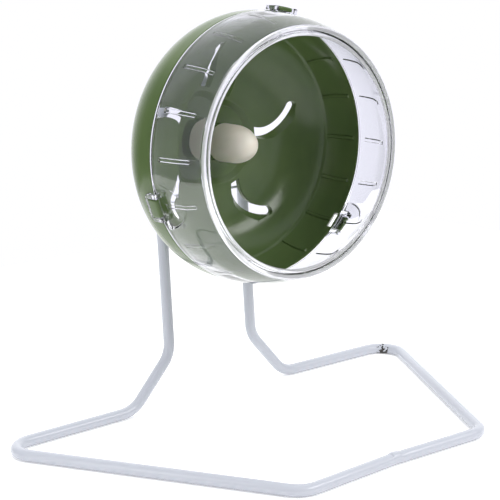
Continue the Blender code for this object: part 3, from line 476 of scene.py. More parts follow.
def hub_outline():
    """The recess round the hub, the hub's own outline with its bearing pockets, and the back."""
    back_of_floor, back_of_recess = BOWL_DEPTH + BOWL_WALL, RECESS_FLOOR + BOWL_WALL
    return rounded([(27 * MM, BOWL_DEPTH, 0), (RECESS_EDGE, BOWL_DEPTH, 0.5 * MM),
                    (RECESS_FOOT, RECESS_FLOOR, 0.5 * MM), (HUB_RADIUS, RECESS_FLOOR, 0.5 * MM),
                    (HUB_RADIUS, HUB_FRONT, 0.2 * MM), (POCKET_RADIUS, HUB_FRONT, 0.2 * MM),
                    (POCKET_RADIUS, SHOULDER_FRONT, 0.1 * MM),
                    (SHOULDER_RADIUS, SHOULDER_FRONT, 0.15 * MM),
                    (SHOULDER_RADIUS, SHOULDER_BACK, 0.15 * MM),
                    (POCKET_RADIUS, SHOULDER_BACK, 0.1 * MM), (POCKET_RADIUS, HUB_BACK, 0.2 * MM),
                    (HUB_RADIUS, HUB_BACK, 0.3 * MM), (HUB_RADIUS, back_of_recess, 0.6 * MM),
                    (RECESS_FOOT + BOWL_WALL, back_of_recess, 0.6 * MM),
                    (RECESS_EDGE + BOWL_WALL, back_of_floor, 0.6 * MM),
                    (29 * MM, back_of_floor, 0)])


def bowl_section():
    """Rows of (radius, station), how far each row is lifted by a rib, and the turn it leans by.

    The rows are close at the band's step, and the even ones keep a little clear of it.
    """
    band = np.linspace(0, BAND_ANGLE - 0.038, 12)
    edge = BAND_ANGLE + np.linspace(-STEP_TURN / 2, STEP_TURN / 2, 6)
    bend = np.linspace(BAND_ANGLE + 0.042, math.pi / 2, 26)
    turns = np.concatenate([band, edge, bend])
    start = np.linspace(2.8, 3.7, 7) * MM
    rim = rounded([(BOWL_RADIUS, 1 * MM, 0), (BOWL_RADIUS, 0, 0.25 * MM),
                   (BOWL_INSIDE, 0, 0.2 * MM), (BOWL_INSIDE, 2 * MM, 0)])
    wall = np.stack([np.full_like(start, BOWL_INSIDE), start], axis=-1)
    inside = corner_points(turns, inside_reach(turns))
    outside = corner_points(np.linspace(math.pi / 2, 0, 34), CORNER_RADIUS + BOWL_WALL)
    lower = np.stack([np.full(3, BOWL_RADIUS), np.array([3.4, 2.2, 1.5]) * MM], axis=-1)
    section = np.concatenate([rim, wall, inside, hub_outline(), outside, lower])
    on_wall, on_turns = len(rim), len(rim) + len(wall)
    ribbed, lean = np.zeros(len(section)), np.zeros(len(section))
    ribbed[on_wall:on_turns] = eased((start - 2.9 * MM) / (0.4 * MM))
    ribbed[on_turns:on_turns + len(band)] = 1.0
    lean[on_turns:on_turns + len(turns)] = turns
    return section, ribbed, lean


print(f"bowl section: {len(bowl_section()[0])} rows")

# %% Skin of the bowl
def rib_lift(angles, radius, edge):
    """How far each angle is on a rib: one on its top, and eased down to nothing over its edge."""
    apart = np.degrees(angles)[:, None] - np.array(RIB_ANGLES)[None, :]
    apart = np.radians(np.abs((apart + 180) % 360 - 180).min(axis=1)) * radius
    return eased((RIB_HALF + edge / 2 - apart) / edge)


def bowl_grid():
    """The bowl's skin: the section turned round the axle, lifted inwards where a rib runs."""
    section, ribbed, lean = bowl_section()
    rib_offsets = np.degrees(np.array([-1.0, -0.87, -0.75, -0.63, -0.5, 0,
                                       0.5, 0.63, 0.75, 0.87, 1.0]) * MM / BOWL_INSIDE)
    angles = angles_round(RIB_ANGLES, rib_offsets, 1.8)
    lift = RIB_RISE * ribbed[:, None] * rib_lift(angles, BOWL_INSIDE, RIB_EDGE)[None, :]
    radius = section[:, :1] - lift * np.cos(lean)[:, None]
    station = section[:, 1:] - lift * np.sin(lean)[:, None]
    return on_wheel(radius, station, angles[None, :])


bowl = piece_from_grid("bowl", bowl_grid())
print(f"bowl skin: {len(bowl.data.polygons)} faces")

# %% [markdown]
# ### Vent slots
# Five slots curl out from the hub. Each has a wide bevel along its outer edge, which catches the
# light. The cutter is one closed skin: a cross section carried along the slot's arc. It follows
# the floor's height, so that the small round on each edge is the same all the way.

# %% Slot cutters
SLOT_CENTRE = np.array([24.8, 18.0]) * MM
SLOT_ARC, SLOT_HALF = 16.1 * MM, 2.0 * MM
SLOT_START_RADIUS, SLOT_END = 20.8 * MM, math.radians(-19)
BEVEL_WIDTH, BEVEL_FULL = 2.5 * MM, np.radians([-70, -35])
EDGE_ROUND, EDGE_LIFT = 0.35 * MM, 0.03 * MM
OVERRUN = 3.0 * MM


def floor_station(radius):
    """Station of the bowl's inside at a radius, read off the corner's own points."""
    turns = np.linspace(BAND_ANGLE + 0.02, math.pi / 2, 200)
    points = corner_points(turns, inside_reach(turns))
    return np.interp(radius, points[::-1, 0], points[::-1, 1])


def slot_start(radius):
    """Angle at which an arc of this radius about the slot's centre meets the circle round the hub.

    It is the corner of a triangle with three known sides, by the rule of cosines.
    """
    away = np.hypot(*SLOT_CENTRE)
    cosine = (SLOT_START_RADIUS ** 2 - away ** 2 - radius ** 2) / (2 * away * radius)
    return math.atan2(SLOT_CENTRE[1], SLOT_CENTRE[0]) - math.acos(cosine)


def slot_profile(crescent):
    """Half widths and depths under the floor of the outline's points, at each share of the bevel.

    The outline runs down one rounded edge, under the wall, and up the other edge along the bevel.
    """
    bow = np.radians([25, 25, 45, 65, 90, 90])
    half = SLOT_HALF + EDGE_ROUND * (1 - np.sin(bow))
    depth = EDGE_ROUND * (1 - np.cos(bow)) - EDGE_LIFT
    depth[0], depth[-1] = -OVERRUN, BOWL_WALL + OVERRUN
    near = np.stack([np.repeat(item[:, None], len(crescent), axis=1) for item in (half, depth)])
    up = np.array([1 + OVERRUN / BOWL_WALL, 1, 2 / 3, 1 / 3, 0, 0])[:, None]
    bevel_depth = BOWL_WALL * (1 - up)
    bevel_depth[-1] = depth[-1]
    bevel = np.stack([SLOT_HALF + BEVEL_WIDTH * crescent * up,
                      np.broadcast_to(bevel_depth, near[1].shape)])
    far = near + (bevel - near) * eased(crescent / 0.3)
    return np.concatenate([near, far[:, ::-1]], axis=1)


def slot_cutter(angle):
    """A closed skin round one slot: the outline carried along the slot's arc.

    The bevel's width is a trapezium along the arc, so that it makes a crescent. At the tip each
    half width swings round as a half circle.
    """
    share = np.concatenate([np.linspace(0, 1, 34), np.ones(9)])
    swing = np.concatenate([np.zeros(34), np.linspace(0, math.pi / 2, 10)[1:]])
    starts = np.array([slot_start(SLOT_ARC + side * SLOT_HALF) for side in (-1, 1)])
    turns = starts[:, None] + (SLOT_END - starts[:, None]) * share
    rising = 0.2 + 0.8 * (turns[1] - starts[1]) / (BEVEL_FULL[0] - starts[1])
    falling = (SLOT_END - turns[1]) / (SLOT_END - BEVEL_FULL[1])
    halves, depths = slot_profile(np.minimum(rising, falling).clip(0, 1))
    side_points = len(halves) // 2
    offset = np.repeat([-1.0, 1.0], side_points)[:, None] * halves * np.cos(swing)
    turn = np.repeat(turns, side_points, axis=0) + halves * np.sin(swing) / SLOT_ARC
    out = SLOT_CENTRE[0] + (SLOT_ARC + offset) * np.cos(turn)
    side = SLOT_CENTRE[1] + (SLOT_ARC + offset) * np.sin(turn)
    reach = np.hypot(out, side)
    grid = on_wheel(reach, floor_station(reach) + depths, np.arctan2(side, out) + angle)
    grid = np.swapaxes(grid, 0, 1)
    return np.concatenate([closing_row(grid[0]), grid])


slot_tools = [piece_from_grid(f"slot_tool_{index}", slot_cutter(math.radians(72 * index)),
                              close_rows=False) for index in range(5)]
print(f"slot cutters: {len(slot_tools)}, {len(slot_tools[0].data.polygons)} faces each")

# %% [markdown]
# ### Lugs and slits
# Three lugs on the rim hold the snap loops, and a slit behind each lug lets the mould form it. A
# lug is a side view with rounded corners, carried along the rim. Its ends draw in to make their
# round edges.

# %% Lugs and slits
CLIP_ANGLES = [math.radians(turn) for turn in (78.0, 198.0, 318.0)]
LUG_HALF, LUG_TOP, LUG_BACK, LUG_FRONT = 3.7 * MM, BOWL_RADIUS + 2.1 * MM, 2.0 * MM, -3.4 * MM
LUG_ROOT = 0.6 * MM
SLIT_HALF, SLIT_OPEN, SLIT_LEAN = 3.8 * MM, 2.6 * MM, 1.7 * MM
SEAT_GAP = 0.3 * MM


def rim_block(outline, middle, half_width, angle, edge, steps=14):
    """A closed block along the rim: an outline of (radius, station) carried over a width.

    Near both ends the outline shrinks towards its middle by the height of a quarter circle, which
    rounds the ends, and a last row in the middle closes them. The middle is a place from which the
    whole outline can be seen.
    """
    bow = np.linspace(0, math.pi / 2, 5)
    ends = half_width - edge + edge * np.sin(bow)
    across = np.concatenate([-ends[::-1], np.linspace(-ends[0], ends[0], steps)[1:-1], ends])
    size = np.linalg.norm(outline - middle, axis=1).mean()
    shrink = np.full(len(across), 1.0)
    shrink[-len(bow):] = 1 - edge / size * (1 - np.cos(bow))
    shrink[:len(bow)] = shrink[-len(bow):][::-1]
    rows = middle + (outline - middle)[None] * shrink[:, None, None]
    caps = np.broadcast_to(middle, outline.shape)[None]
    rows = np.concatenate([caps, rows, caps])
    across = np.concatenate([across[:1], across, across[-1:]])
    return on_wheel(rows[..., 0], rows[..., 1], angle + across[:, None] / BOWL_RADIUS)


lug_side = rounded([(BOWL_RADIUS - LUG_ROOT, LUG_ROOT, 0), (BOWL_RADIUS + SEAT_GAP, LUG_ROOT, 0),
                    (BOWL_RADIUS + SEAT_GAP, LUG_FRONT, 0.2 * MM), (LUG_TOP, LUG_FRONT, 0.9 * MM),
                    (LUG_TOP, LUG_BACK, 0.4 * MM), (BOWL_RADIUS - LUG_ROOT, LUG_BACK, 0)],
                   closed=True)
lug_middle = np.array([BOWL_RADIUS + 1.2 * MM, 1.3 * MM])
slit_reach = np.array([BOWL_INSIDE - OVERRUN, BOWL_RADIUS + OVERRUN])
slit_front = LUG_BACK + 0.4 * MM + SLIT_LEAN * (slit_reach - BOWL_RADIUS) / BOWL_WALL
slit_side = np.concatenate([np.stack([slit_reach, slit_front], axis=-1),
                            np.stack([slit_reach, slit_front + SLIT_OPEN], axis=-1)[::-1]])
lugs, slits = ([piece_from_grid(name, rim_block(outline, middle, half, angle, edge),
                                close_rows=False) for angle in CLIP_ANGLES]
               for name, outline, middle, half, edge in (
                   ("lug_tool", lug_side, lug_middle, LUG_HALF, 0.4 * MM),
                   ("slit_tool", slit_side, slit_side.mean(axis=0), SLIT_HALF, 0.01 * MM)))
combine(bowl, lugs, "UNION")
combine(bowl, slot_tools + slits, "DIFFERENCE")
finish_piece(bowl, GREEN, "wheel", "wheel_bowl")

# %% [markdown]
# ## The clear ring
# The ring is one thick moulding with a grooved lip, tread ribs inside and three flat finger scoops
# outside. Its skin is again a section turned round the axle. The scoops lower the outside to a flat
# floor within half an ellipse. The grid is closer where ribs and scoops have their edges, because
# clear plastic shows every edge twice, once on each side of the wall.

# %% Ring sizes and section
RING_FRONT, RING_BULGE = BOWL_RADIUS - 5.8 * MM, 1.3 * MM
RING_MOUTH = RING_FRONT - 4.7 * MM
LIP = -RING_LENGTH
GROOVE_MIDDLE, GROOVE_HALF, GROOVE_DEPTH = RING_FRONT - 2.4 * MM, 0.5 * MM, 0.5 * MM
LIP_WALL, THIN_WALL, WEDGE_LENGTH, WALL_BEND = 4.7 * MM, 2.0 * MM, 12.5 * MM, 0.2 * MM
SCOOP_HALF, SCOOP_LENGTH, SCOOP_DEPTH, SCOOP_EDGE = 10.5 * MM, 15.5 * MM, 0.8 * MM, 0.5 * MM
RING_RIB_RISE, RING_RIB_EDGE = 0.45 * MM, 0.45 * MM
RING_RIB_FRONT, RING_RIB_BACK, RING_RIB_FADE = -20.2 * MM, -4.3 * MM, 0.4 * MM


def ring_outside(station):
    """Outer radius: straight from lip to seam, plus a parabola for the bulge between them."""
    share = (station + RING_LENGTH) / RING_LENGTH
    return RING_FRONT + (BOWL_RADIUS - RING_FRONT) * share + 4 * RING_BULGE * share * (1 - share)


def ring_inside(station):
    """Inner radius: the outside less the wall.

    The wall is thin near the seam, and from the bend forward it thickens evenly to the lip. The
    two lines meet in a soft corner: half the steeper line's lead over the other and half the root
    of that lead squared plus a small square.
    """
    from_lip = station + RING_LENGTH
    past_bend = (from_lip - WEDGE_LENGTH) / (RING_LENGTH - WEDGE_LENGTH)
    thin = THIN_WALL + (BOWL_WALL - THIN_WALL) * past_bend
    lead = (LIP_WALL - THIN_WALL) * (WEDGE_LENGTH - from_lip) / (WEDGE_LENGTH - 1 * MM)
    return ring_outside(station) - thin - (lead + np.sqrt(lead ** 2 + WALL_BEND ** 2)) / 2


def lip_outline():
    """The lip from the outside over its groove to the inside."""
    outer, inner, floor = -26.35 * MM, -26.9 * MM, LIP + GROOVE_DEPTH
    return rounded([(ring_outside(outer), outer, 0), (RING_FRONT + 0.1 * MM, LIP, 1.3 * MM),
                    (GROOVE_MIDDLE + GROOVE_HALF, LIP, 0.2 * MM),
                    (GROOVE_MIDDLE + GROOVE_HALF, floor, 0.25 * MM),
                    (GROOVE_MIDDLE - GROOVE_HALF, floor, 0.25 * MM),
                    (GROOVE_MIDDLE - GROOVE_HALF, LIP, 0.2 * MM), (RING_MOUTH, LIP, 0.6 * MM),
                    (ring_inside(inner), inner, 0)], steps=5)


def ring_section():
    """Rows of (radius, station), how far each is lifted by a rib, and which a scoop can lower."""
    back = np.linspace(-0.9 * MM, -17.5 * MM, 50)
    front = np.linspace(-18.2 * MM, -26.3 * MM, 13)
    outer = np.concatenate([back, front])
    outside = np.stack([ring_outside(outer), outer], axis=-1)
    lip = lip_outline()
    inner = np.concatenate([np.linspace(-26.4, -20.7, 8), np.linspace(-20.3, -19.7, 7),
                            np.linspace(-18.6, -5.4, 13), np.linspace(-4.8, -4.2, 7),
                            np.linspace(-3.4, -1.4, 4)]) * MM
    inside = np.stack([ring_inside(inner), inner], axis=-1)
    edge = rounded([(ring_inside(-1 * MM), -1 * MM, 0), (BOWL_INSIDE, -SEAT_GAP, 0.2 * MM),
                    (BOWL_RADIUS, -SEAT_GAP, 0.2 * MM), (ring_outside(-0.8 * MM), -0.8 * MM, 0)])
    section = np.concatenate([outside, lip, inside, edge])
    first_inside = len(outside) + len(lip)
    ribbed = np.zeros(len(section))
    ribbed[first_inside:first_inside + len(inner)] = (
        eased((inner - RING_RIB_FRONT) / RING_RIB_FADE)
        * eased((RING_RIB_BACK - inner) / RING_RIB_FADE))
    scooped = np.arange(len(section)) < len(outside)
    return section, ribbed, scooped


print(f"ring section: {len(ring_section()[0])} rows")

# %% Scoops and skin of the ring
def scoop_sink(station, angles):
    """How far the scoops lower the outside at each station and angle.

    The flat floor's radius grows as one over the cosine away from the scoop's middle. The
    ellipse's own equation, divided by its slope, gives the distance from its edge.
    """
    apart = np.stack([(angles - angle + math.pi) % math.tau - math.pi for angle in CLIP_ANGLES])
    apart = np.take_along_axis(apart, np.abs(apart).argmin(axis=0)[None], axis=0)[0][None, :]
    along = BOWL_RADIUS * np.sin(apart)
    slope = (ring_outside(0.0) - ring_outside(-SCOOP_LENGTH)) / SCOOP_LENGTH
    floor = (BOWL_RADIUS - SCOOP_DEPTH + slope * station) / np.cos(apart.clip(-0.5, 0.5))
    oval = (along / SCOOP_HALF) ** 2 + (station / SCOOP_LENGTH) ** 2 - 1
    steepness = 2 * np.hypot(along / SCOOP_HALF ** 2, station / SCOOP_LENGTH ** 2)
    inner = eased(0.5 - oval / np.maximum(steepness, 20) / SCOOP_EDGE)
    return inner * (ring_outside(station) - floor).clip(0)


def ring_grid():
    """The ring's skin: the section turned, lifted inwards at the ribs and lowered at the scoops."""
    section, ribbed, scooped = ring_section()
    rib_offsets = np.degrees(np.array([-1.1, -0.93, -0.83, -0.74, -0.66, -0.57, 0,
                                       0.57, 0.66, 0.74, 0.83, 0.93, 1.1]) * MM / BOWL_INSIDE)
    ribs = angles_round(RIB_ANGLES, rib_offsets, 2.0)
    scoops = np.radians([math.degrees(angle) + turn for angle in CLIP_ANGLES
                         for turn in np.arange(-11.2, 11.3, 0.4)])
    apart = np.abs((scoops[:, None] - ribs[None, :] + math.pi) % math.tau - math.pi).min(axis=1)
    angles = np.sort(np.concatenate([ribs, scoops[apart > 0.0025] % math.tau]))
    lift = RING_RIB_RISE * ribbed[:, None] * rib_lift(angles, BOWL_INSIDE, RING_RIB_EDGE)[None, :]
    station = np.repeat(section[:, 1:], len(angles), axis=1)
    sink = np.where(scooped[:, None], scoop_sink(station, angles), 0.0)
    return on_wheel(section[:, :1] - lift - sink, station, angles[None, :])


ring = piece_from_grid("ring", ring_grid())
print(f"ring skin: {len(ring.data.polygons)} faces")

# %% [markdown]
# ### Snap loops
# Each loop reaches back from the ring over a lug. It is a rounded bar bent to a U. A cross section
# is carried along the U in the plane of the rim, and the whole is wrapped onto the rim, so the
# loop follows the wheel's curve. Its feet sink into the ring's wall and are joined to it.

# %% Snap loops
ARM_MIDDLE, ARM_HALF, BAR_HALF, LOOP_BACK = 5.15 * MM, 1.05 * MM, 0.8 * MM, 4.0 * MM
LOOP_TOP, LOOP_BEND, LOOP_EDGE = BOWL_RADIUS + 2.1 * MM, 1.3 * MM, 0.45 * MM
FOOT_FRONT, FOOT_SINK = -3.6 * MM, 1.3 * MM


def loop_grid(angle):
    """One U-shaped loop.

    The path runs back along one arm, round a bend, along the bar and forward again. At each place
    the section is a rounded rectangle: across the path in the rim's plane, and from its underside
    to its top. The underside drops into the ring in front of the seam.
    """
    bar = LOOP_BACK - BAR_HALF
    path = rounded([(-ARM_MIDDLE, FOOT_FRONT, 0), (-ARM_MIDDLE, bar, LOOP_BEND),
                    (ARM_MIDDLE, bar, LOOP_BEND), (ARM_MIDDLE, FOOT_FRONT, 0)], steps=8)
    arm = np.linspace(FOOT_FRONT, bar - 1.5 * MM, 26)
    left = np.stack([np.full_like(arm, -ARM_MIDDLE), arm], axis=-1)
    path = np.concatenate([left, path[1:-1], left[::-1] * (-1, 1)])
    ahead = np.gradient(path, axis=0)
    ahead /= np.linalg.norm(ahead, axis=1)[:, None]
    sideways = np.stack([ahead[:, 1], -ahead[:, 0]], axis=-1)
    sinking = eased((-0.4 * MM - path[:, 1]) / (0.5 * MM))
    under = BOWL_RADIUS + SEAT_GAP - FOOT_SINK * sinking
    bow = np.linspace(0, math.pi / 2, 5)
    half = BAR_HALF + (ARM_HALF - BAR_HALF) * eased((bar - path[:, 1]) / (1.5 * MM))
    corner_x, corner_z = LOOP_EDGE * (np.sin(bow) - 1), LOOP_EDGE * (1 - np.cos(bow))
    side = np.repeat([1.0, -1.0, -1.0, 1.0], len(bow))
    inset = np.concatenate([corner_x[::-1], corner_x, corner_x[::-1], corner_x])
    across = side[None, :] * (half[:, None] + inset[None, :])
    from_top = np.concatenate([corner_z[::-1], corner_z, -corner_z[::-1], -corner_z])
    is_top = np.repeat([True, True, False, False], len(bow))
    height = np.where(is_top[None, :], LOOP_TOP, under[:, None]) - from_top[None, :]
    along = path[:, None, 0] + sideways[:, None, 0] * across
    station = path[:, None, 1] + sideways[:, None, 1] * across
    grid = on_wheel(height, station, angle + along / BOWL_RADIUS)
    return np.concatenate([closing_row(grid[0]), grid, closing_row(grid[-1])])


loops = [piece_from_grid("loop_tool", loop_grid(angle), close_rows=False)
         for angle in CLIP_ANGLES]
combine(ring, loops, "UNION")
finish_piece(ring, CLEAR, "wheel", "clear_ring")

# %% Lip made rougher and painted pale
# The faces at the front of the lip get the rougher finish with the painted pale light
LIP_PAINTED_DEPTH = 0.35 * MM
ring.data.materials.append(LIP_MATT_PAINTED_PALE)
middles = np.array([face.center.y for face in ring.data.polygons])
on_lip = middles < SEAM_Y + LIP + LIP_PAINTED_DEPTH
ring.data.polygons.foreach_set("material_index", on_lip.astype(np.int32))
print(f"matt, painted pale faces on the lip: {on_lip.sum()}")

# %% [markdown]
# ## The hub cap
# The cap is a hollow turned form with a half ellipse for its nose. A short spigot plugs into the
# hub. The section runs from the nose's tip along the outside, round the base and back inside.

# %% Hub cap
CAP_BASE = HUB_FRONT - SEAT_GAP
CAP_NOSE, CAP_LENGTH, CAP_WALL = 13.0 * MM, 20.9 * MM, 1.4 * MM
CAP_RADIUS, SPIGOT_RADIUS, SPIGOT_BORE, SPIGOT_END = 8.6 * MM, 6.5 * MM, 5.1 * MM, 0.8 * MM


def cap_section():
    """Half section of the cap: a half ellipse and a straight skirt, outside and inside."""
    bow = np.linspace(0, math.pi / 2, 30)
    shoulder = CAP_BASE - CAP_LENGTH + CAP_NOSE
    nose_radius = CAP_RADIUS - 0.15 * MM
    outside = np.stack([nose_radius * np.sin(bow), shoulder - CAP_NOSE * np.cos(bow)], axis=-1)
    inside = np.stack([(nose_radius - CAP_WALL) * np.sin(bow),
                       shoulder - (CAP_NOSE - CAP_WALL) * np.cos(bow)], axis=-1)[::-1]
    base = rounded([(nose_radius + 0.05 * MM, shoulder + 2 * MM, 0),
                    (CAP_RADIUS, CAP_BASE, 0.35 * MM), (SPIGOT_RADIUS, CAP_BASE, 0.1 * MM),
                    (SPIGOT_RADIUS, CAP_BASE + SPIGOT_END, 0.2 * MM),
                    (SPIGOT_BORE, CAP_BASE + SPIGOT_END, 0.2 * MM),
                    (SPIGOT_BORE, CAP_BASE - CAP_WALL, 0.1 * MM),
                    (nose_radius - CAP_WALL, CAP_BASE - CAP_WALL, 0.3 * MM),
                    (nose_radius - CAP_WALL, shoulder + 1 * MM, 0)])
    return np.concatenate([outside, base, inside])


section = cap_section()
around = np.linspace(0, math.tau, 96, endpoint=False)
cap = piece_from_grid("cap", on_wheel(section[:, :1], section[:, 1:], around[None, :]),
                      close_rows=False)
finish_piece(cap, CREAM, "wheel", "hub_cap")

# %% [markdown]
# ## The stand
# The stand is one closed loop of 5 mm rod. Its centre line is a chain of straight runs with an arc
# in each bend, and a half circle over the top. A circle is carried along it without twist. The two
# ends of the rod meet in a butt weld in the middle of the front bar, which leaves a small bead.

# %% Centre line of the rod
ROD_RADIUS = 2.5 * MM
LEG_BEND_HEIGHT, LEG_HALF, LEG_DEPTH = 25.7 * MM, 23.7 * MM, 123.85 * MM
LEG_LEAN, LEG_DRAW_IN = 0.039, 0.0062
ARCH_START = AXLE_HEIGHT + 4 * MM
DENT, FRONT_CORNER = 2.3 * MM, 49.8 * MM
FRONT_BEND, SIDE_BEND, FOOT_BEND = 10 * MM, 11 * MM, 14 * MM


def leg_behind(height):
    """Depth of the leaning legs behind the front bar at a height."""
    return LEG_DEPTH + LEG_LEAN * (height - LEG_BEND_HEIGHT)


def leg_half(height):
    """Half the distance between the legs at a height, where they draw slightly together."""
    return LEG_HALF - LEG_DRAW_IN * (height - LEG_BEND_HEIGHT)


ARCH_RADIUS = leg_half(ARCH_START)


def half_centre_line():
    """Centre line of the right half, from the weld to the top of the arch.

    Its depth counts from the front bar. Straight runs meet in arcs, and a half circle in the
    leaning plane of the legs makes the arch.
    """
    floor = ROD_RADIUS
    points = rounded([(0, DENT, floor, 0), (FRONT_CORNER, 0, floor, FRONT_BEND),
                      (116.44 * MM, 123.3 * MM, floor, SIDE_BEND),
                      (44 * MM, 125 * MM, floor, FOOT_BEND),
                      (LEG_HALF, LEG_DEPTH, LEG_BEND_HEIGHT, FOOT_BEND),
                      (ARCH_RADIUS, leg_behind(ARCH_START), ARCH_START, 0)], steps=None)
    bead = np.linspace(0.3, 3.6, 12) * MM
    near_weld = np.stack([bead, DENT - bead * DENT / FRONT_CORNER, np.full_like(bead, floor)],
                         axis=-1)
    swing = np.radians(np.linspace(3, 90, 30))
    height = ARCH_START + ARCH_RADIUS * np.sin(swing)
    arch = np.stack([ARCH_RADIUS * np.cos(swing), leg_behind(height), height], axis=-1)
    arch[-1, 0] = 0
    return np.concatenate([points[:1], near_weld, points[1:], arch])


FRONT_BAR_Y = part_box("stand_rod")[0].y + ROD_RADIUS - half_centre_line()[:, 1].min()
print(f"front bar at Y {FRONT_BAR_Y / MM:.2f} mm")

# %% Rod skin
BEAD_HALF, BEAD_RISE = 2.4 * MM, 0.55 * MM


def spokes_along(path, first_spoke):
    """Two unit vectors square to the path at each place, carried along without twist."""
    ahead = np.gradient(path, axis=0)
    ahead[0], ahead[-1] = (1, 0, 0), (-1, 0, 0)
    ahead /= np.linalg.norm(ahead, axis=1)[:, None]
    spokes = [np.array(first_spoke, float)]
    for direction in ahead[1:]:
        spoke = spokes[-1] - direction * (spokes[-1] @ direction)
        spokes.append(spoke / np.linalg.norm(spoke))
    spokes = np.array(spokes)
    return spokes, np.cross(ahead, spokes)


def rod_grid():
    """The rod's skin: a circle along the half centre line, and its mirror image.

    Near the weld the circle swells on its upper side by a half ellipse with three slow ripples, as
    a ground-down bead does.
    """
    path = half_centre_line()
    path[:, 1] += FRONT_BAR_Y
    across, upwards = spokes_along(path, (0, 1, 0))
    around = np.linspace(0, math.tau, 32, endpoint=False)[None, :, None]
    near = (1 - (path[:, 0] / BEAD_HALF) ** 2).clip(0) * (path[:, 2] < 5 * MM) * (path[:, 1] < 0)
    ripple = 1 + 0.25 * np.sin(3 * around + 900 * path[:, None, :1])
    swell = BEAD_RISE * np.sqrt(near)[:, None, None] * np.sin(around).clip(-0.1) * ripple
    half = path[:, None] + (ROD_RADIUS + swell) * (across[:, None] * np.cos(around)
                                                  + upwards[:, None] * np.sin(around))
    mirrored = half[-2:0:-1] * np.array([-1, 1, 1])
    return np.concatenate([half, mirrored])


rod = piece_from_grid("rod", rod_grid())
finish_piece(rod, COATED, "stand", "stand_rod")

# %% [markdown]
# ## Floor, light and camera
# The floor is a plain pale sheet, small enough that the wheel mirrors little of it. The backdrop
# is white, but glossy plastic mirrors a studio that is darker in front than at the back. So the
# world is plain white to the camera and through clear plastic, and a room of two soft gradients to
# matt surfaces and to mirrored rays. Three soft boxes add to it: one above, which nothing mirrors,
# one on the left, and a wide one in front, which makes the glow along the bowl's corner.

# %% Floor
FLOOR_HALF = 0.38
side = np.linspace(-FLOOR_HALF, FLOOR_HALF, 2)
floor_x, floor_y = np.meshgrid(side, side, indexing="ij")
floor_grid = np.stack([floor_x, floor_y, np.zeros_like(floor_x)], axis=-1)
floor_mesh = bpy.data.meshes.new("floor")
floor_mesh.from_pydata(floor_grid.reshape(-1, 3).tolist(), [], [(0, 2, 3, 1)])
floor = bpy.data.objects.new("floor", floor_mesh)
BUILD_PLACE.objects.link(floor)
paper = start_finish("floor_paper_matt", "#f7f7f7", 0.9, Emission_Strength=0.24,
                     Emission_Color=(1.0, 1.0, 1.0, 1.0))[0]
floor_mesh.materials.append(paper)

# %% World
world = bpy.data.worlds.new("studio")
bpy.context.scene.world = world
world.use_nodes = True
sky = world.node_tree
white = sky.nodes["Background"]
feed(sky, white, {"Color": (1.0, 1.0, 1.08, 1.0)})
direction = add(sky, "TexCoord").outputs["Generated"]
# Each gradient runs along an axis: where it starts and ends along it, and its two brightnesses.
# The first lights matt surfaces and the second is what mirrored rays find.
levels = []
for axis, start, end, dark, bright in (((-0.12, 0.70, 0.65), -0.5, 0.7, 0.22, 1.05),
                                       ((0.60, 0.75, 0.30), 0.4, 1.0, 0.12, 1.45)):
    along = add(sky, "VectorMath", {0: direction, 1: axis}, operation="DOT_PRODUCT")
    levels.append(add(sky, "MapRange",
                      {"Value": along.outputs["Value"], "From Min": start, "From Max": end,
                       "To Min": dark, "To Max": bright}, interpolation_type="SMOOTHSTEP"))
ray = add(sky, "LightPath")
level = add(sky, "Mix", {0: ray.outputs["Is Glossy Ray"], 2: levels[0], 3: levels[1]})
straight = add(sky, "Math", {0: ray.outputs["Is Camera Ray"],
                             1: ray.outputs["Is Transmission Ray"]}, operation="MAXIMUM")
room = add(sky, "Background", {"Color": (0.97, 0.98, 1.0, 1.0), "Strength": level})
either = add(sky, "MixShader", {0: straight, 1: room, 2: white})
feed(sky, sky.nodes["World Output"], {"Surface": either})
bpy.context.scene.view_settings.view_transform = "Standard"
print(f"world: {len(sky.nodes)} nodes")

# %% Soft boxes
def soft_box(name, place, aim, wide, tall, power, mirrored=True):
    """A soft lamp from a place to an aim: never seen through plastic, and mirrored if wanted."""
    lamp = bpy.data.lights.new(name, "AREA")
    lamp.shape, lamp.size, lamp.size_y, lamp.energy = "RECTANGLE", wide, tall, power
    box = bpy.data.objects.new(name, lamp)
    box.location = place
    box.rotation_euler = (Vector(aim) - Vector(place)).to_track_quat("-Z", "Y").to_euler()
    box.visible_glossy, box.visible_transmission = mirrored, False
    BUILD_PLACE.objects.link(box)
    print(f"{name}: {power} W")


soft_box("soft_box_top", (0.0, 0.15, 0.95), (0, 0, 0.1), 0.55, 0.45, 3.5, mirrored=False)
soft_box("soft_box_left", (-0.95, 0.0, 0.30), (0, 0, 0.12), 0.20, 0.6, 1.5)
soft_box("soft_box_front", (0.30, -0.70, 0.58), (0, 0, 0.12), 0.75, 0.26, 5.4)

# %% [markdown]
# ### Camera
# It was solved from the straight bars and the round outlines in the photograph, in rod widths from
# the middle of the front bar. It looks down a long lens from the front left, rolled a little.

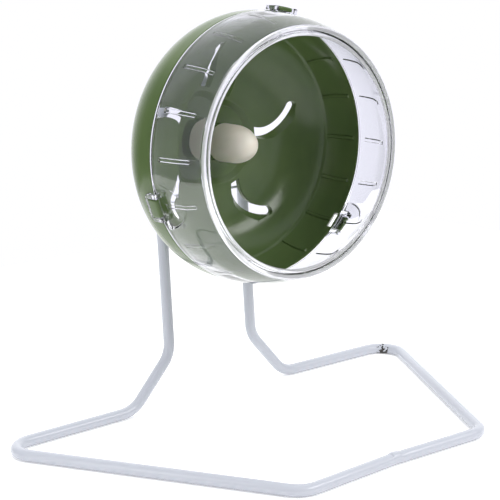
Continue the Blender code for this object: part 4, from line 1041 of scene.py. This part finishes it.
# %% Camera
PICTURE_PIXELS, LENS_PIXELS, SENSOR_WIDTH = 500, 1398.94, 36.0
TURN, RISE, ROLL = (math.radians(value) for value in (-38.221, 12.151, -1.700))
ROD_WIDTH = 5 * MM
DISTANCE, AIM_LEFT, AIM_DOWN = 120.385, 2.153, 2.341
back = np.array([math.sin(TURN) * math.cos(RISE), -math.cos(TURN) * math.cos(RISE), math.sin(RISE)])
right = np.array([math.cos(TURN), math.sin(TURN), 0.0])
above = np.cross(back, right)
rolled_right = math.cos(ROLL) * right + math.sin(ROLL) * above
rolled_above = -math.sin(ROLL) * right + math.cos(ROLL) * above
target = (np.array([0, 15 * ROD_WIDTH, 18 * ROD_WIDTH])
          - AIM_LEFT * ROD_WIDTH * right - AIM_DOWN * ROD_WIDTH * above)
place = target + back * DISTANCE * ROD_WIDTH + np.array([0, FRONT_BAR_Y, 0])

lens = bpy.data.cameras.new("camera")
lens.sensor_width, lens.lens = SENSOR_WIDTH, LENS_PIXELS / PICTURE_PIXELS * SENSOR_WIDTH
lens.clip_start, lens.clip_end = 0.01, 20.0
camera = bpy.data.objects.new("camera", lens)
camera.matrix_world = Matrix([[rolled_right[axis], rolled_above[axis], back[axis], place[axis]]
                              for axis in range(3)] + [[0, 0, 0, 1]])
BUILD_PLACE.objects.link(camera)
bpy.context.scene.camera = camera
print("camera at", [round(float(value), 4) for value in place])

# %% [markdown]
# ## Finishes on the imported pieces
# Plate, bolt, nut, washers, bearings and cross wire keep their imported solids. Each has a material
# slot named for its finish, and the finish goes into it.

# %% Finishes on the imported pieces
packed_slots = [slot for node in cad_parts.values() for slot in node.material_slots
                if slot.material]
for slot_name, finish in (("green_abs", GREEN), ("clear_polystyrene", CLEAR), ("cream_abs", CREAM),
                          ("powder_coated_steel", COATED), ("zinc_plated_steel", ZINC),
                          ("bearing_steel", GROUND), ("nylon", NYLON)):
    dressed = [slot for slot in packed_slots if slot.material.name.startswith(slot_name)]
    for slot in dressed:
        slot.material = finish
    print(f"{finish.name}: {len(dressed)} packed pieces")
